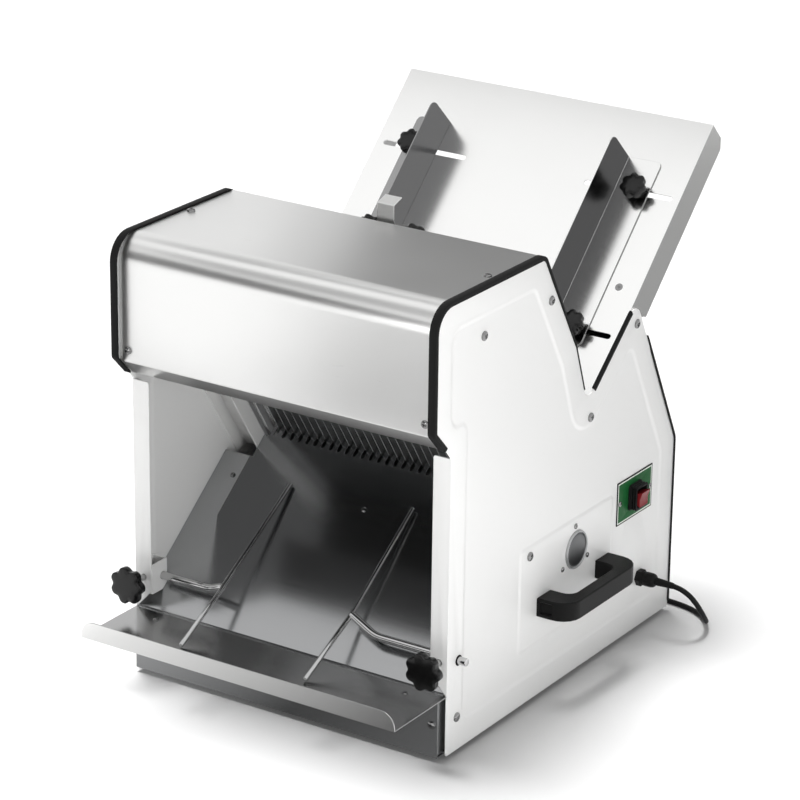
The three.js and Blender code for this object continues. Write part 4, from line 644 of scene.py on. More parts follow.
def all_finishes(colours):
    """Every finish by the name of its slot."""
    return {
        "white_paint": powder_coat("powder_coat_white", colours.white_coat),
        "satin_stainless": brushed_metal("satin_stainless", colours.stainless, 0.3, 1.2),
        # painted shade: the left guide's foot is a darker copy of the stainless on the right guide's foot
        "foot_stainless": brushed_metal("foot_stainless", colours.foot, 0.24, 1.6, spread=0.02),
        # painted light: the tray's front-facing lip is paler than the rest of the same tray sheet
        "lip_stainless": brushed_metal("lip_stainless", colours.stainless, 0.24, 1.6, spread=0.02),
        "chute_stainless": brushed_metal("chute_stainless", colours.chute, 0.2, 1.6, spread=0.02),
        "mirror_stainless": brushed_metal("bright_annealed_stainless", colours.mirror_stainless, 0.18, 1.6),
        "tray_stainless": brushed_metal("tray_stainless", colours.tray, 0.2, 1.6, spread=0.02),
        # painted reflection and shade: the guides' walls darker than their stainless, the right one darker still
        "guide_stainless": brushed_metal("guide_stainless", colours.guide, 0.22, 1.6, grain_axis=1),
        "guide_dark_stainless": brushed_metal("guide_dark_stainless", colours.right_guide_shade_colour, 0.22, 1.6, grain_axis=1),
        "bearing_cap": grained_metal("bearing_cap", colours.cap, 0.34, 4.0, 0.1),
        "screw_steel": brushed_metal("screw_steel", colours.screw, 0.16, 0.5, grain_axis=1, spread=0.05),
        "rail_enamel": powder_coat("rail_enamel", colours.rail, gloss=0.3),
        "plinth_stainless": brushed_metal("plinth_stainless", colours.mirror_stainless, 0.24, 1.4),
        "polished_rod": brushed_metal("chromed_bar", colours.chrome, 0.12, 0.8, grain_axis=1),
        "blade_steel": brushed_metal("ground_blade_steel", colours.blade, 0.34, 0.6, grain_axis=2, spread=0.06),
        "cast_aluminium": grained_metal("cast_aluminium", colours.aluminium, 0.42, 1.4, 0.25),
        "zinc_steel": grained_metal("zinc_plated_steel", colours.zinc, 0.38, 5.0, 0.1),
        "bright_steel": brushed_metal("turned_steel", colours.chrome, 0.18, 0.5, grain_axis=1, spread=0.05),
        "black_rubber": moulded("edge_rubber", colours.rubber, 0.55, 0.9, 0.2),
        "black_plastic": moulded("moulded_nylon", colours.nylon, 0.42, 1.1, 0.35),
        "knob_plastic": moulded("polished_phenolic", colours.phenolic, 0.2, 6.0, 0.02, ior=1.55, gloss=0.3),
        "green_plate": printed_plate("printed_plate_green", colours.plate_green, colours.plate_border, colours.rubber),
        "red_rocker": moulded("red_rocker", colours.rocker_red, 0.2, 4.0, 0.02, ior=1.49),
        "motor_paint": grained_metal("motor_enamel", colours.enamel, 0.4, 3.0, 0.15),
        "lead_sheath": moulded("lead_sheath", colours.nylon, 0.5, 0.8, 0.15),
    }


finishes = {}


# Pieces

# finish, slot, edge setting and packed nodes, where a star stands for left and right
DRESSED = [
    ("satin_stainless", "satin_stainless", "sheet_edge", "throat_wall height_plate rear_cover"),
    ("chute_stainless", "satin_stainless", "sheet_edge", "infeed_chute"),
    ("mirror_stainless", "mirror_stainless", "sheet_edge", "outfeed_slide"),
    ("tray_stainless", "mirror_stainless", "sheet_edge", "outfeed_tray"),
    ("plinth_stainless", "mirror_stainless", "sheet_edge", "front_plinth"),
    # the guides' walls get painted shade and reflection, the right one darker; their feet get a paler finish by facing
    ("guide_stainless", "mirror_stainless", "sheet_edge", "infeed_guide_left"),
    ("guide_dark_stainless", "mirror_stainless", "sheet_edge", "infeed_guide_right"),
    ("zinc_steel", "zinc_steel", "sheet_edge", "crumb_drawer drawer_runner_* base_pan motor_shelf"),
    ("white_paint", "zinc_steel", "sheet_edge", "rod_bracket_*"),
    ("blade_steel", "blade_steel", "blade_edge", "blade_frame_front blade_frame_rear"),
    ("rail_enamel", "cast_aluminium", "cast_edge", "guide_rail_*"),
    ("cast_aluminium", "cast_aluminium", "cast_edge", "crank_pulley motor_pulley"),
    ("bright_steel", "bright_steel", "sheet_edge", "crankshaft connecting_rod_front connecting_rod_rear"),
    ("black_rubber", "black_rubber", "rubber_edge", "edge_trim_rear_* rubber_foot_front_* rubber_foot_rear_*"),
    ("black_rubber", "black_rubber", "rubber_edge", "drive_belt"),
    ("black_plastic", "black_plastic", "moulded_edge", "carry_handle_*"),
    ("black_plastic", "black_plastic", "sheet_edge", "plug"),
    ("red_rocker", "red_rocker", "cast_edge", "switch_rocker"),
    ("motor_paint", "motor_paint", "cast_edge", "motor"),
]
# faces of one sheet painted lighter or darker by the way they face, as painted light and shade: a guide's foot and the
# tray's lip: finish, axis and range of the normal along it
PAINTED_LIGHT_BY_FACING = {
    "infeed_guide_left": ("foot_stainless", 0, -0.5, 0.5),
    "infeed_guide_right": ("chute_stainless", 0, -0.5, 0.5),
    "outfeed_tray": ("lip_stainless", 1, -1.1, -0.25),
}
# record's slots of the finishes that have none of their own name
SLOT_OF = {"screw_steel": "polished_rod", "bearing_cap": "zinc_steel"}


def make_finishes():
    """Makes the finishes that the pieces share."""
    finishes.update(all_finishes(bpy.context.scene.slicer_colours))


def dress_packed():
    """Dresses the packed pieces with rounded edges and their finishes."""
    edges = bpy.context.scene.slicer_edges
    for finish, slot, edge, nodes in DRESSED:
        for word in nodes.split():
            for side in SIDES if "*" in word else [""]:
                dressed(word.replace("*", side), finishes[finish], getattr(edges, edge), slot)


# Side panels and cover

HALF = 232.5
FIELD = HALF - 1.3  # less the pressing's depth
PANEL = [
    (0, 0, 4), (541, 0, 4), (541, 240, 18), (428.6, 459.1, 18), (311.1, 357.3, 14), (281, 440, 40),
    (201, 577, 12), (-36, 577, 32), (-36, 425, 6), (-13, 401, 1.5), (0, 386, 1.5),
]
FIELD_OUTLINE = [
    (0, 0, 53), (541, 0, 53), (541, 240, 53), (428.6, 459.1, 48), (311.1, 357.3, 4), (281, 440, 60),
    (201, 577, 48), (-36, 577, 53), (-36, 386, 53), (0, 386, -20),
]
PAD_OUTLINE = square(160, 70, 388, 212, 8)
# holes' middles, and their radii or outline
ROD_HOLE, ROD_HOLE_RADIUS = (24.5, 119.0), 5.6
BEARING, BEARING_HOLE_RADIUS = (296.0, 167.0), 25.4
SWITCH = (441.5, 191.5)
SWITCH_HOLE = centred(*SWITCH, 15.3, 16.3, 1.5)
GLAND, GLAND_HOLE_RADIUS = (461.0, 70.0), 6.3
CLAMP_STUD, CLAMP_HOLE_RADIUS = (220.0, 122.0), 4.3
FLANGE = [(229.7, 81, 1), (232.3, 77.5, 1), (232.3, 384.8, 1), (208, 384.8, 3), (208, 105, 3)]
FLANGE_EDGE = 0.6
LEDGE = [(184, 576.2, 0), (-28.2, 576.2, 32.2), (-28.2, 420.5, 0)]
LEDGE_OUTER, LEDGE_WIDE = 231.25, 26.25


def finished(name, skins, finish, body="machine", smooth=35.0):
    """A new piece. Where a packed node has its name, the piece stands for the node and rides on its body."""
    points, faces = joined(skins)
    nodes = [name] if name in frame["nodes"] else []
    piece = new_piece(name + "_finished" * len(nodes), row(points), faces, finishes[finish], smooth)
    said(piece, SLOT_OF.get(finish, finish), frame["nodes"][name]["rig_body"] if nodes else body, *nodes)


def on_side(shape, side, x=HALF):
    """Sheet points (y, z, height) on a panel's face: X is the side times the face's distance plus the height."""
    points, faces = shape
    return np.column_stack([side * (x + points[:, 2]), points[:, 0], points[:, 1]]), faces


def across(shape, x):
    """Sheet points (y, z, height) carried from x towards the left."""
    points, faces = shape
    return np.column_stack([x + points[:, 2], points[:, 0], points[:, 1]]), faces


def make_panels():
    """Makes the pressed side panels with their flanges and ledges."""
    sizes = bpy.context.scene.slicer_panels
    thick, edge, depth, pad = (v / MM for v in (sizes.thick, sizes.edge, sizes.depth, sizes.pad_depth))
    pressings = [
        (FIELD_OUTLINE, sizes.border / MM, sizes.ramp / MM, -depth),
        (PAD_OUTLINE, 0, sizes.pad_ramp / MM, -pad),
    ]
    for name, side in SIDES.items():
        holes = [(ring(*ROD_HOLE, ROD_HOLE_RADIUS), 0), (ring(*BEARING, BEARING_HOLE_RADIUS), 2)]
        if name == "right":
            holes += [(ring(*GLAND, GLAND_HOLE_RADIUS), 1), (SWITCH_HOLE, 1)]
        shell = pressed_sheet(PANEL, thick, edge, pressings, holes, least=1.2)
        stud_hole = ring(*CLAMP_STUD, CLAMP_HOLE_RADIUS)
        points, faces = pressed_sheet(FLANGE, thick, FLANGE_EDGE, holes=[(stud_hole, 0)])
        flange = np.column_stack([side * points[:, 0], -points[:, 2], points[:, 1]]), faces
        section = pressed_sheet(strip(LEDGE, thick), LEDGE_WIDE, 0.3, least=0.3)
        points, faces = across(section, LEDGE_OUTER)
        ledge = points * [side, 1, 1], faces
        finished("side_panel_" + name, [on_side(shell, side), flange, ledge], "white_paint")


# the trim's section (inward, x) round the front and crown, and the thin one that it narrows to down the throat
TRIM = [
    (3.4, 232.6), (3.4, 233.4), (2.8, 234.1), (1.8, 234.3), (-1.6, 234.3), (-2.6, 233.9), (-3.0, 232.9), (-3.0, 224.6),
    (-2.6, 224.1), (-0.6, 224.1), (-0.3, 224.6), (-0.3, 232.6),
]
TRIM_THIN = [
    (0.5, 232.6), (0.5, 232.9), (0.3, 233.1), (0.0, 233.2), (-1.0, 233.2), (-1.4, 233.0), (-1.6, 232.4), (-1.6, 230.6),
    (-1.4, 230.3), (-0.5, 230.3), (-0.3, 230.6), (-0.3, 232.6),
]
TRIM_EAR = [(inward + 0.6 * (inward > 0), max(x, 230.6)) for inward, x in TRIM]
# the outline's columns of points where the trim and the ear's seal start
TRIM_START, EAR_START = 54, 41


def trim(thin, full, first, weight, side):
    """A section carried along the panel's outline from one column of points onwards: the thin section plus the
    weight times the difference to the full one, column by column."""
    columns = slice(first, first + len(weight))
    thin, full = (np.stack([np.column_stack([0 * loop[:, 0] + side * x, loop])[columns]
                            for loop, x in ((rounded(PANEL, inward, least=1.2), x) for inward, x in section)])
                  for section in (thin, full))
    return skin((thin + weight[:, None] * (full - thin)).transpose(1, 0, 2))


def make_trims():
    """Makes the rubber trims round the panels' front edges and along their ears."""
    # eleven points to a corner: thin up the throat, wider up to the crown's rear corner, then full
    weight = np.concatenate([np.zeros(1), np.linspace(0, 0.3, 11), np.linspace(0.7, 1, 11), np.ones(33)])
    for name, side in SIDES.items():
        for piece, thin, full, first, share in (
            ("edge_trim_front_", TRIM_THIN, TRIM, TRIM_START, weight),
            ("ear_seal_", TRIM_EAR, TRIM_EAR, EAR_START, np.ones(4)),
        ):
            finished(piece + name, [trim(thin, full, first, share, side)], "black_rubber", smooth=50)


COVER = [(200, 578, 0), (-30, 578, 34), (-30, 419, 3), (-10, 398, 3), (-2, 398, 0)]
COVER_THICK, COVER_WIDE = 1.5, 447.4
SLIDE_BEAD_WIDE = 455
SLIDE_BEAD = [(-1.6, 80.1, 0.1), (2.1, 80.1, 0.1), (2.1, 81.1, 0.2), (1.5, 81.8, 0.3)]


def make_cover():
    """Makes the bent stainless cover and the bead at the slide's foot."""
    sheet = pressed_sheet(strip(COVER, COVER_THICK), COVER_WIDE, 0.3, arcs=14, least=0.2, guard=1.5)
    finished("top_cover", [across(sheet, COVER_WIDE / 2)], "satin_stainless")
    bead = pressed_sheet(SLIDE_BEAD, SLIDE_BEAD_WIDE, 0.15, least=0.1, guard=0.3)
    finished("slide_foot_bead", [across(bead, SLIDE_BEAD_WIDE / 2)], "mirror_stainless")


# Bearings, grommets and outfeed rods

BEARING_BODY = [
    (15.3, 214.7), (25.5, 214.7), (26.5, 215.7), (26.5, 224.7), (33.2, 224.7), (34, 225.5), (34, 229.0), (33.3, 229.7),
    (25, 229.7), (25, 234.0), (24.7, 234.6), (24.1, 234.9), (23.2, 234.9), (22.6, 234.6), (22.3, 234.0), (22.2, 233.2),
    (0, 233.2), (0, 230.0), (15.3, 230.0),
]
BEARING_CAP = [
    (0, 232.0), (21.6, 232.0), (21.9, 232.6), (21.7, 233.6), (21.2, 233.9), (19, 234.05), (10, 234.15), (0, 234.2),
]
GROMMET = [(5.3, 231.0), (5.3, 233.2), (5.6, 233.5), (6.2, 233.5), (6.7, 233.2), (6.8, 232.4), (6.8, 231.0)]
CROSS_ROD, LONG_ROD = (5, 10), (3, 9)  # radius, and how far a bend reaches along the rod
CROSS_ROD_END = 244.5
LONG_ROD_FOOT = 83.3
# X of the long rod, X from it to the cross rod's kink, (y, z) of its upper end and bend and of the cross rod's joint
# with it, and y of its foot
ROD_PLACES = {
    "left": (-110, -27, (164, 219), (3, 121), (18, 130), -70),
    "right": (70, 43, (171, 226), (37, 132), (37, 132), -62),
}


def turned(profile, y, z, side, steps=48):
    """A profile of (radius, X) pairs turned round the line through (y, z) along X, on one side."""
    return revolved([(r, side * x) for r, x in profile], (0, y, z), (1, 0, 0), steps)


def make_bearings():
    """Makes the crankshaft's bearings with their end caps, and the grommets round the rods' ends."""
    for name, side in SIDES.items():
        body = turned(BEARING_BODY, *BEARING, side)
        finished("bearing_" + name, [skin(body, False, False, close_rows=True)], "cast_aluminium")
        cap = turned(BEARING_CAP, *BEARING, side)
        finished("bearing_cap_" + name, [skin(cap, False, False)], "bearing_cap")
        grommet = turned(GROMMET, *ROD_HOLE, side, 28)
        finished("rod_grommet_" + name, [skin(grommet, False, False, close_rows=True)], "black_rubber")


def make_rods():
    """Makes the chromed rods that steady the sliced loaf."""
    for name, side in SIDES.items():
        x, kink, upper, bend, joint, lower = ROD_PLACES[name]
        short = bar([(side * CROSS_ROD_END, *ROD_HOLE), (x + kink, *ROD_HOLE), (x, *joint)], *CROSS_ROD)
        long = bar([(x, *upper), (x, *bend), (x, lower, LONG_ROD_FOOT)], *LONG_ROD)
        finished("outfeed_rod_" + name, [short, long], "polished_rod")


# Star knobs

CHUTE_FRAME = ((0, 615, 641.4), 44.4)
THROAT_FRAME = ((0, 205.5, 570), 30.3)
SLIDE_FRAME = ((0, 0, 80), 39)
# knobs and their kinds, the studs' radius and length and the knobs' neck by kind
KNOBS = {
    name + side: name.split("_")[0]
    for side in SIDES
    for name in ("clamp_knob_", "height_knob_", "guide_knob_upper_", "guide_knob_lower_")
}
STUDS = {"clamp": (4, 40.2, 4), "height": (4, 6.4, 4), "guide": (3, 10.5, 8)}
KNOB_TURN = 0.35  # radians from each knob's lobes to the next one's
# seats: a knob's place from the middle and along its sheet, and the height of the face that it stands on
HEIGHT_SEAT = (32, -22)
GUIDE_SEAT_X = 168.99
GUIDE_SEAT_Y = {"upper": -115, "lower": -318}
SHEET_FACE = 2.1
FLANGE_FACE = -21


def star_knob(sizes, radius, boss, start=0.0):
    """Star knob on its seat, its axis along Z. A ring's radius is share * radius * (1 - wave * hollow * k), where
    hollow = ((1 - cos(lobes * angle)) / 2)^1.5 makes wide lobes and narrow hollows, and k runs from 0 at the middle
    to 1 near the rim as 3 t^2 - 2 t^3."""
    thick, dome, edge = sizes.thick / MM, sizes.dome / MM, sizes.edge / MM
    top, low = boss + thick, float(boss)
    rim_z = top - dome
    share = np.array([0, 0.2, 0.4, 0.6, 0.75, 0.86])
    face = [(s, top - dome * (0.25 * s**2 + 0.45 * s**4)) for s in share]
    e = edge / radius
    a = np.linspace(0, np.pi / 2, 5)
    crest = face[-1][1] - 0.28 * dome
    rim = [(1 - e + e * math.sin(v), crest - edge + edge * math.cos(v)) for v in a]
    side = [(0.995, rim_z - 0.3 * thick), (0.985, low + 0.32 * thick), (0.97, low + 0.18 * thick)]
    under = [(0.93, low + 0.09 * thick), (0.86, low + 0.05 * thick), (0.7, low + 0.05 * thick)]
    hub = (radius / 2 - 2.5) / radius
    neck = [(hub, low + 0.05 * thick), (hub, 0.6), ((radius / 2 - 3.1) / radius, 0.0)]
    shares, heights = np.array(face + rim + side + under + neck).T
    turn = start + circle(sizes.lobes * 14)[None, :]
    t = np.clip((shares - 0.45) / 0.4, 0, 1)
    k = (3 * t**2 - 2 * t**3) * np.where(heights > low + 0.06 * thick, 1, np.where(shares > 0.65, 0.9, 0))
    hollow = ((1 - np.cos(sizes.lobes * turn)) / 2) ** 1.5
    reach = shares[:, None] * radius * (1 - sizes.wave * k[:, None] * hollow)
    return np.stack([reach * np.cos(turn), reach * np.sin(turn), heights[:, None] + 0 * turn], -1)


def stud(radius, length):
    """Rings of a stud along Z from a little inside the knob down to its chamfered end."""
    profile = [(0, 2), (radius, 2), (radius, -length + 0.8), (radius - 0.8, -length), (0, -length)]
    return revolved(profile, (0, 0, 0), (0, 0, 1), 20)


def seated(points, node):
    """A knob's points on its seat: in front of the flange, on the throat's plane or on the chute."""
    side = SIDES[node.rsplit("_", 1)[1]]
    x, y, z = points[..., 0], points[..., 1], points[..., 2]
    if KNOBS[node] == "clamp":
        return np.stack([x + side * CLAMP_STUD[0], FLANGE_FACE - z, y + CLAMP_STUD[1]], -1)
    if KNOBS[node] == "height":
        return tilted(np.stack([x + side * HEIGHT_SEAT[0], SHEET_FACE + z, HEIGHT_SEAT[1] - y], -1), *THROAT_FRAME)
    down = GUIDE_SEAT_Y[node.split("_")[2]]
    return tilted(np.stack([x + side * GUIDE_SEAT_X, y + down, SHEET_FACE + z], -1), *CHUTE_FRAME)


def make_knobs():
    """Makes the star knobs and their studs."""
    sizes = bpy.context.scene.slicer_knobs
    for number, (node, kind) in enumerate(KNOBS.items()):
        radius = getattr(sizes, kind + "_radius") / MM
        stud_radius, length, boss = STUDS[kind]
        head = seated(star_knob(sizes, radius, boss, start=KNOB_TURN * number), node)
        finished(node, [skin(head, False, True)], "knob_plastic", smooth=50)
        shank = seated(stud(stud_radius, length), node)
        finished(node + "_stud", [skin(shank, False, False)], "bright_steel", frame["nodes"][node]["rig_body"])


# Switch, gland and strain relief

PLATE, PLATE_THICK = (397, 162, 486, 221), 1.0
# the housing's outline, and (inward, height) of the rings of its wall and of the boot
HOUSING = centred(*SWITCH, 15, 16, 3.2)
BOOT = [
    (0.9, -27.6), (0.3, -27.0), (0.3, 0.8), (-1.6, 1.2), (-1.6, 2.2), (-1.2, 2.6), (-0.2, 2.7), (0, 3.0), (0, 4.4),
    (0.5, 4.9), (1.3, 5.3), (1.3, 6.0), (0.5, 6.4), (0, 6.9), (0, 8.0), (0.5, 8.5), (1.3, 8.9), (1.3, 9.5), (0.5, 9.9),
    (0, 10.4), (0, 11.2), (0.35, 11.8), (1.1, 12.0), (2.6, 12.0), (3.3, 11.8), (3.6, 11.2), (3.6, 0.5),
]
GLAND_BODY = [
    (0, 222.0), (6, 222.0), (6, 231.8), (9.4, 239.6), (9.4, 241.0), (8.9, 241.6), (8.9, 242.6), (9.5, 243.2),
    (9.5, 251.5), (9.2, 253.5), (8.5, 255.3), (7.3, 256.8), (5.6, 257.6), (4.2, 257.8), (0, 257.8),
]
GLAND_STEPS = 42
GROOVED_RINGS, GROOVE_DEPTH = [7, 8, 9], 0.045
NUT_RADIUS, NUT_THICK = 11.5, 8
RELIEF_START, RELIEF_END, RELIEF_LENGTH = 252, 268, 16  # X on either side of the gland's end, and length along the lead
RELIEF_RADIUS, RELIEF_TAPER = 5.6, 1.5
RELIEF_RIBS, RIB_HEIGHT = 7, 0.28


def make_switch():
    """Makes the switch plate and the ribbed boot round the rocker."""
    plate = pressed_sheet(square(*PLATE, 0.8), PLATE_THICK, 0.25, holes=[(SWITCH_HOLE, 0)])
    finished("switch_plate", [on_side(plate, 1, FIELD + PLATE_THICK)], "green_plate")
    housing = skin(band(HOUSING, BOOT, least=0.4))
    finished("switch_housing", [on_side(housing, 1, FIELD)], "black_plastic")


def make_gland():
    """Makes the cord gland with its nut."""
    y, z = GLAND
    middle = np.array([0, y, z])
    body = revolved(GLAND_BODY, middle, (1, 0, 0), GLAND_STEPS)
    grooved = np.isin(np.arange(len(GLAND_BODY)), GROOVED_RINGS)[:, None] * (np.arange(GLAND_STEPS) % 3 == 0)
    body[..., 1:] = middle[1:] + (body[..., 1:] - middle[1:]) * (1 - GROOVE_DEPTH * grooved[..., None])
    nut = [(y + NUT_RADIUS * math.cos(a), z + NUT_RADIUS * math.sin(a), 0.6) for a in circle(6)]
    nut = pressed_sheet(nut, NUT_THICK, 0.8, arcs=2)
    finished("mains_gland", [skin(body, False, False), on_side(nut, 1, FIELD + NUT_THICK)], "black_plastic")


# Mains lead

GLAND_END = (268.8, 461.0, 70.0)
LEAD_ROUTE = [
    (276, 461, 70), (285, 461.4, 69.2), (295, 463.5, 66), (304, 469, 57.5), (309, 477, 45.5), (311, 487, 32),
    (310, 499, 19), (306, 512, 8), (299, 525, 1), (289, 537, -2.2), (276, 547, -2.5), (260, 554, -2.5),
    (242, 558.2, -2.5), (222, 560.3, -2.5), (200, 560.9, -2.5), (176, 560.9, -2.5), (152, 560.9, -2.5),
    (128, 560.9, -2.5), (112, 560.9, -2.5),
]
COIL_MIDDLE = (96.0, 612.0)
COIL_END = 7.0
TURN_STEPS = 24
FLOOR_TO_PANEL = 6.0
PLUG_ROUTE = [(75, 6), (66, 8.4), (58, 10.6), (51, 11), (44.5, 11)]


def coil_route(sizes):
    """The coil's middle line: its radius falls to the inner turn halfway and grows again on the upper layer, while
    the angle runs clockwise, radius = inner + pitch * |turns from the middle|."""
    turned = np.arange(sizes.turns * TURN_STEPS + 1) / TURN_STEPS
    from_middle = turned - sizes.turns / 2
    radius = (sizes.inner_radius + sizes.pitch * np.abs(from_middle)) / MM
    angle = -np.pi / 2 - 2 * np.pi * turned
    lowest = sizes.diameter / MM / 2 - FLOOR_TO_PANEL
    z = lowest + sizes.layer / MM * np.clip(2 * from_middle + 0.5, 0, 1)
    return np.stack([COIL_MIDDLE[0] + radius * np.cos(angle), COIL_MIDDLE[1] + radius * np.sin(angle), z], 1)


def lead_route(sizes):
    """The whole lead's middle line: gland, drop behind the machine, coil and plug."""
    coil = coil_route(sizes)
    into = coil[0] + [COIL_END, 0, 0]
    out = coil[-1] - [COIL_END, 0, 0]
    tail = [(x, coil[-1][1], z) for x, z in PLUG_ROUTE]
    return smooth_path(np.concatenate([[GLAND_END], LEAD_ROUTE, [into], coil, [out], tail]), 4)


def make_lead():
    """Makes the mains lead from the gland through its coil to the plug."""
    sizes = bpy.context.scene.slicer_lead
    path = row(lead_route(sizes))
    points, faces = skin(tube(path, sizes.diameter / 2))
    lead = new_piece("mains_lead", points, faces, finishes["lead_sheath"])
    said(lead, "lead_sheath", "machine", "cord", "cord_coil", "cord_tail")
    sleeve = lead_route(sizes)
    along = np.concatenate([[0], np.cumsum(np.linalg.norm(np.diff(sleeve, axis=0), axis=1))])
    start = [(x, *GLAND) for x in np.linspace(RELIEF_START, RELIEF_END, 9)]
    sleeve = np.concatenate([start, sleeve[along < RELIEF_LENGTH]])
    s = np.linspace(0, 1, len(sleeve))
    radii = RELIEF_RADIUS - RELIEF_TAPER * s + RIB_HEIGHT * np.cos(s * 2 * np.pi * RELIEF_RIBS) * (1 - s)
    finished("strain_relief", [skin(tube(sleeve, radii, 20))], "black_rubber", smooth=60)


# Screws


HEAD_STEPS = 32
CROSS_ARM = 0.13  # half the width of the recess's arms, as a share of the head's radius


def pan_head(centre, axis, radius, height, recess):
    """Pan-head screw with a cross recess. The dome's rings have radius cos(a) and height 0.3 + 0.7 sin(a) of the
    head. The recess is two rings on the outline of a cross, the nearer of its arms' ends and flanks at each angle,
    the lower one drawn in by a third."""
    turn = circle(HEAD_STEPS)[None, :]
    a = np.radians([0, 0, 20, 40, 55])[:, None]
    reach = np.cos(a) + 0 * turn
    rise = 0.3 + 0.7 * np.sin(a) + 0 * turn
    rise[0] = 0
    c, s = np.abs(np.cos(turn)), np.abs(np.sin(turn))
    c, s = np.maximum(c, s), np.minimum(c, s)
    cross = np.minimum(recess / c, CROSS_ARM / np.maximum(s, 1e-6))
    top = 0.3 + 0.7 * np.sqrt(1 - cross**2)
    reach = np.concatenate([reach, cross, cross * 0.66, 0 * turn])
    rise = np.concatenate([rise, top, top - 0.5, 0 * turn + 0.42])
    side = reach[..., None] * around(axis, HEAD_STEPS)
    return skin(np.asarray(centre) + radius * side + height * rise[..., None] * np.asarray(axis), True, False)


PAD = HALF - 0.2  # under the face of the bearing's pad
PANEL_SCREWS = [
    (FIELD, 69, 516.5), (HALF, 218, 518), (HALF, 321, 336), (PAD, 184, 197), (HALF, 22, 45), (HALF, 430, 427),
]
BEARING_SCREWS = [(293, 199.5), (264, 151), (324, 150)]
PLATE_SCREWS = [(403, 191.5), (480, 191.5)]
# the right side's other screws, which the left side has too: place, axis and size
SIDE_SCREWS = [
    ((215, -30, 434), (0, -1, 0), "middle"),
    ((215, 100, 578), (0, 0, 1), "middle"),
    ((186, -20, 80), (0, 0, 1), "small"),
    ((218, -10, 43), (0, -1, 0), "middle"),
]
CHUTE_SCREW = (200.7, -249, 0)
SLIDE_SCREWS = [(-199, 208.5, 0), (3, 208.5, 0), (199, 208.5, 0)]
FLUSH_HEIGHT = 0.2  # the guides' feet slide over the chute's screws


def make_screws():
    """Sets the pan-head screws in their places."""
    sizes = bpy.context.scene.slicer_screws
    size = {
        "large": (sizes.panel_radius / MM, sizes.panel_height / MM, sizes.recess),
        "middle": (sizes.cover_radius / MM, sizes.cover_height / MM, sizes.recess),
        "small": (sizes.small_radius / MM, sizes.small_height / MM, sizes.recess),
        "flush": (sizes.cover_radius / MM, FLUSH_HEIGHT, sizes.recess),
    }
    chute_up, slide_up = (tilted((0, 0, 1), (0, 0, 0), degrees) for _, degrees in (CHUTE_FRAME, SLIDE_FRAME))
    places = []
    for side in SIDES.values():
        out = (side, 0, 0)
        places += [((side * x, y, z), out, "large") for x, y, z in PANEL_SCREWS]
        places += [((side * PAD, y, z), out, "small") for y, z in BEARING_SCREWS]
        places += [((side * x, y, z), axis, kind) for (x, y, z), axis, kind in SIDE_SCREWS]
        places.append((tilted(CHUTE_SCREW * np.array([side, 1, 1]), *CHUTE_FRAME), chute_up, "flush"))
    places += [((FIELD + PLATE_THICK, y, z), (1, 0, 0), "small") for y, z in PLATE_SCREWS]
    places += [(tilted(place, *SLIDE_FRAME), slide_up, "small") for place in SLIDE_SCREWS]
    heads = [pan_head(*place, *size[kind]) for *place, kind in places]
    finished("pan_head_screws", heads, "screw_steel", smooth=30)


# Stage

CAMERA_PLACE = (2.2279, -3.424895, 1.886)
CAMERA_AZIMUTH = 33.1755
CAMERA_ELEVATION = 20.8277
CAMERA_ROLL = 0.7237
FOCAL_PIXELS = 3472.3
FRAME_PIXELS = 800
SENSOR = 36.0
CLIP_END = 60.0
FLOOR_REACH = 12.0
SQUARE_CORNERS = np.array([(-1, -1, 0), (1, -1, 0), (1, 1, 0), (-1, 1, 0)])


def camera_turn():
    """The camera's right, up and back directions: level at the azimuth and elevation, then rolled."""
    a, e, r = (math.radians(x) for x in (CAMERA_AZIMUTH, CAMERA_ELEVATION, CAMERA_ROLL))
    back = np.array([math.sin(a) * math.cos(e), -math.cos(a) * math.cos(e), math.sin(e)])
    level = np.array([math.cos(a), math.sin(a), 0.0])
    rise = np.cross(back, level)
    right = math.cos(r) * level + math.sin(r) * rise
    up = -math.sin(r) * level + math.cos(r) * rise
    return np.stack([right, up, back], 1)


def place_camera():
    """Places the camera at the photograph's angle."""
    lens = bpy.data.cameras.new("photo_camera")
    lens.sensor_fit = "HORIZONTAL"
    lens.sensor_width = SENSOR
    lens.lens = FOCAL_PIXELS / FRAME_PIXELS * SENSOR
    lens.clip_end = CLIP_END
    camera = bpy.data.objects.new("photo_camera", lens)
    turn = np.eye(4)
    turn[:3, :3] = camera_turn()
    turn[:3, 3] = CAMERA_PLACE
    camera.matrix_world = Matrix(turn.tolist())
    bpy.context.scene.collection.objects.link(camera)
    bpy.context.scene.camera = camera


def facing(place, target):
    """Matrix at a place whose back direction points away from the target and whose right is level."""
    back = np.asarray(place, float) - target
    back /= np.linalg.norm(back)
    right = np.cross([0, 0, 1], back) if abs(back[2]) < 0.99 else np.array([1.0, 0, 0])
    right /= np.linalg.norm(right)
    turn = np.eye(4)
    turn[:3, :3] = np.stack([right, np.cross(back, right), back], 1)
    turn[:3, 3] = place
    return turn


# lamps: kind, place, target, setting of their strength, and size in metres or a sun's angle
LAMPS = {
    "key_light": ("SUN", (-0.22, 0.04, 1.0), (0, 0, 0), "key", math.radians(24)),
    "front_fill": ("AREA", (-0.8, -1.15, 0.5), (-0.1, -0.25, 0.3), "fill", 0.5),
    "side_lamp": ("AREA", (1.1, -0.75, 0.5), (0.23, -0.25, 0.36), "side", 0.4),
}


def lamp(name, kind, place, target, energy, spread):
    """A lamp that lights matt surfaces only: what shines in the metal is the white room and its cards."""
    light = bpy.data.lights.new(name, kind)
    light.energy = energy
    setattr(light, "angle" if kind == "SUN" else "size", spread)
    made = bpy.data.objects.new(name, light)
    made.matrix_world = Matrix(facing(place, target).tolist())
    made.visible_camera = False
    made.visible_glossy = False
    bpy.context.scene.collection.objects.link(made)


WHITE = (1, 1, 1, 1)
UP, DOWN = 1, -1
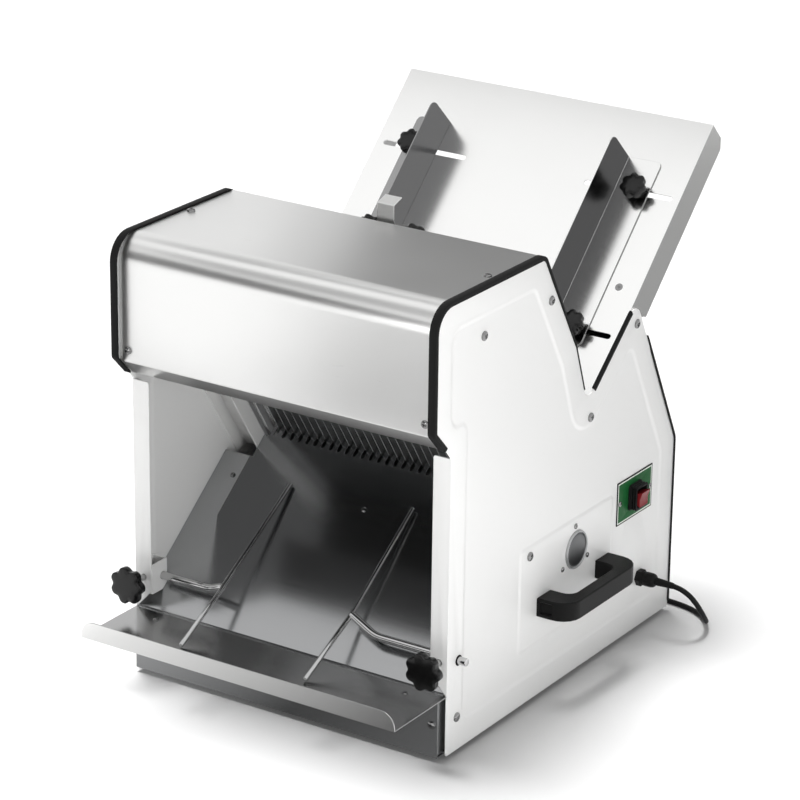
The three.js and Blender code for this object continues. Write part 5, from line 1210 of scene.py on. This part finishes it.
# grey and bright cards round the machine, which only gloss sees: centre, target or UP or DOWN, width, height, and
# strength or its values at the left and right edge
CARDS = {
    "rear_card": ((0.02, 1.2, 1.25), (0.02, 0, 1.25), 1.8, 1.0, 0.22),
    "rear_card_middle": ((-0.98, 1.2, 1.25), (-0.98, 0, 1.25), 0.2, 1.0, 0.68),
    "rear_card_left": ((-1.4, 1.2, 1.25), (-1.4, 0, 1.25), 0.64, 1.0, 0.93),
    "rear_high_card": ((-0.85, 0.85, 2.0), (0, -0.25, 0.58), 1.8, 0.5, 0.6),
    "overhead_card": ((-1.0, -0.47, 2.2), DOWN, 1.7, 0.74, 1.14),
    "crown_card": ((-1.0, 0.12, 2.2), DOWN, 1.7, 0.4, 0.36),
    "front_high_card": ((-1.1, -1.5, 2.2), DOWN, 2.2, 1.3, 0.45),
    "horizon_card": ((-1.35, -2.28, 1.08), (0, -0.28, 0.5), 2.6, 1.1, 0.1),
    "floor_card": ((-0.05, -1.45, 0.03), UP, 1.1, 1.1, (0.5, 0.2)),
    "plinth_card_left": ((-0.14, -0.355, 0.002), UP, 0.28, 0.19, (0.7, 0.1)),
    "plinth_card_right": ((0.24, -0.355, 0.002), UP, 0.48, 0.19, (0.1, 0.36)),
    "lip_card": ((-0.08, -0.67, 0.002), UP, 0.54, 0.44, (1.0, 0.0)),
    "right_floor_card": ((1.0, 1.5, 0.03), UP, 1.4, 2.0, 0.34),
    "head_card": ((0.0, -0.14, 0.43), DOWN, 0.44, 0.24, 0.012),
    "slide_card": ((-0.16, -0.369, 0.34), DOWN, 0.8, 0.182, 0.9),
    "slide_shade_card": ((-0.06, -0.238, 0.34), DOWN, 0.5, 0.08, 0.04),
    "left_wall_card": ((-0.19, -0.1375, 0.34), (0.0, -0.1375, 0.34), 0.275, 0.32, 0.13),
    "sparkle_card": ((-0.2, -3.0, 0.55), (0, 0, 0.3), 0.7, 0.45, 6.0),
}


def card(name, place, target, width, height, strength):
    """A plain card that only gloss sees. Its strength is kept in its corners, so it may change across it."""
    finish, tree = new_finish(name)
    glow = add(tree, "Attribute", attribute_name="glow")
    light = add(tree, "Emission", {"Color": WHITE}, {"Strength": glow.outputs["Fac"]})
    add(tree, "OutputMaterial", links={"Surface": light.outputs["Emission"]})
    turn = facing(place, np.add(place, (0, 0, target)) if target in (UP, DOWN) else target)
    corners = SQUARE_CORNERS * [width / 2, height / 2, 0]
    made = new_piece(name, corners @ turn[:3, :3].T + turn[:3, 3], [[0, 1, 2, 3]], finish)
    left, right = strength if isinstance(strength, tuple) else (strength, strength)
    made.data.attributes.new("glow", "FLOAT", "POINT").data.foreach_set("value", [left, right, right, left])
    for ray in ("camera", "diffuse", "shadow", "transmission", "volume_scatter"):
        setattr(made, "visible_" + ray, False)


def seen_or_lighting(tree, lighting, seen):
    """One value for what the camera sees straight, in gloss or through glass, and one for the light that falls on
    matt surfaces."""
    path = add(tree, "LightPath").outputs
    ray = path["Is Camera Ray"]
    for kind in ("Is Glossy Ray", "Is Transmission Ray"):
        ray = add(tree, "Math", links={0: ray, 1: path[kind]}, operation="MAXIMUM").outputs["Value"]
    return add(tree, "MapRange", {"To Min": lighting, "To Max": seen}, {"Value": ray}).outputs["Result"]


def make_stage():
    """Makes the floor, the lamps and the white surroundings."""
    scene = bpy.context.scene
    studio = scene.slicer_studio
    scene.view_settings.view_transform = "Standard"
    world = bpy.data.worlds.new("white_studio")
    world.use_nodes = True
    tree = world.node_tree
    tree.nodes.clear()
    strength = seen_or_lighting(tree, studio.ambient, 1.0)
    background = add(tree, "Background", {"Color": WHITE}, {"Strength": strength})
    add(tree, "OutputWorld", links={"Surface": background.outputs["Background"]})
    scene.world = world

    finish, tree = new_finish("pale_floor")
    matt = add(tree, "BsdfDiffuse", {"Color": (*scene.slicer_colours.floor, 1)})
    glow = seen_or_lighting(tree, 0.0, studio.floor_glow)
    light = add(tree, "Emission", {"Color": WHITE}, {"Strength": glow})
    both = add(tree, "AddShader", links={0: matt.outputs["BSDF"], 1: light.outputs["Emission"]})
    add(tree, "OutputMaterial", links={"Surface": both.outputs["Shader"]})
    new_piece("floor", FLOOR_REACH * SQUARE_CORNERS, [[0, 1, 2, 3]], finish)

    for name, (kind, place, target, strength, spread) in LAMPS.items():
        lamp(name, kind, place, target, getattr(studio, strength), spread)
    lit = bpy.data.collections.new("lit_from_the_side")
    for piece in scene.objects:
        if piece.type == "MESH" and piece.name != "floor":
            lit.objects.link(piece)
    for name in ("side_lamp", "front_fill"):
        scene.objects[name].light_linking.receiver_collection = lit
    # the photograph's floor shows no shadow of the tray
    casting = bpy.data.collections.new("casts_a_shadow")
    for piece in lit.objects:
        if not piece.name.startswith("outfeed_tray"):
            casting.objects.link(piece)
    scene.objects["key_light"].light_linking.blocker_collection = casting
    for name, settings in CARDS.items():
        card(name, *settings)


class SLICER_PT_panel(bpy.types.Panel):
    """The slicer's sizes, colours and pieces"""

    bl_idname = "SLICER_PT_panel"
    bl_label = "Bread slicer"
    bl_space_type = "VIEW_3D"
    bl_region_type = "UI"
    bl_category = "Slicer"

    def draw(self, context):
        for name, group in GROUPS.items():
            box = self.layout.box()
            box.label(text=group.__doc__)
            settings = getattr(context.scene, name)
            for setting in group.__annotations__:
                box.prop(settings, setting)
        for operator in OPERATORS:
            self.layout.operator(operator.bl_idname)


def operator_for(name, label, make):
    """An operator that runs one of the functions above."""

    def execute(self, context):
        make()
        return {"FINISHED"}

    says = {"bl_idname": "slicer." + name, "bl_label": label, "bl_description": make.__doc__.rstrip(".")}
    return type("SLICER_OT_" + name, (bpy.types.Operator,), says | {"execute": execute})


OPERATORS = [
    operator_for("camera", "Camera", place_camera),
    operator_for("finishes", "Finishes", make_finishes),
    operator_for("dress", "Packed pieces", dress_packed),
    operator_for("lead", "Mains lead", make_lead),
    operator_for("panels", "Side panels", make_panels),
    operator_for("trims", "Rubber trims", make_trims),
    operator_for("cover", "Cover", make_cover),
    operator_for("bearings", "Bearings", make_bearings),
    operator_for("rods", "Outfeed rods", make_rods),
    operator_for("knobs", "Star knobs", make_knobs),
    operator_for("switch", "Switch", make_switch),
    operator_for("gland", "Gland", make_gland),
    operator_for("screws", "Screws", make_screws),
    operator_for("stage", "Stage", make_stage),
]


def register():
    """Registers the settings, operators and panel, and hangs the settings on the scene."""
    for name, group in GROUPS.items():
        bpy.utils.register_class(group)
        setattr(bpy.types.Scene, name, PointerProperty(type=group))
    for item in [*OPERATORS, SLICER_PT_panel]:
        bpy.utils.register_class(item)


def unregister():
    """Takes back what register did."""
    for item in [SLICER_PT_panel, *reversed(OPERATORS)]:
        bpy.utils.unregister_class(item)
    for name, group in reversed(GROUPS.items()):
        delattr(bpy.types.Scene, name)
        bpy.utils.unregister_class(group)


def main():
    """Registers the settings, operators and panel, and runs every operator to make the scene."""
    register()
    for operator in OPERATORS:
        category, call = operator.bl_idname.split(".")
        getattr(getattr(bpy.ops, category), call)()


if __name__ == "__main__":
    main()
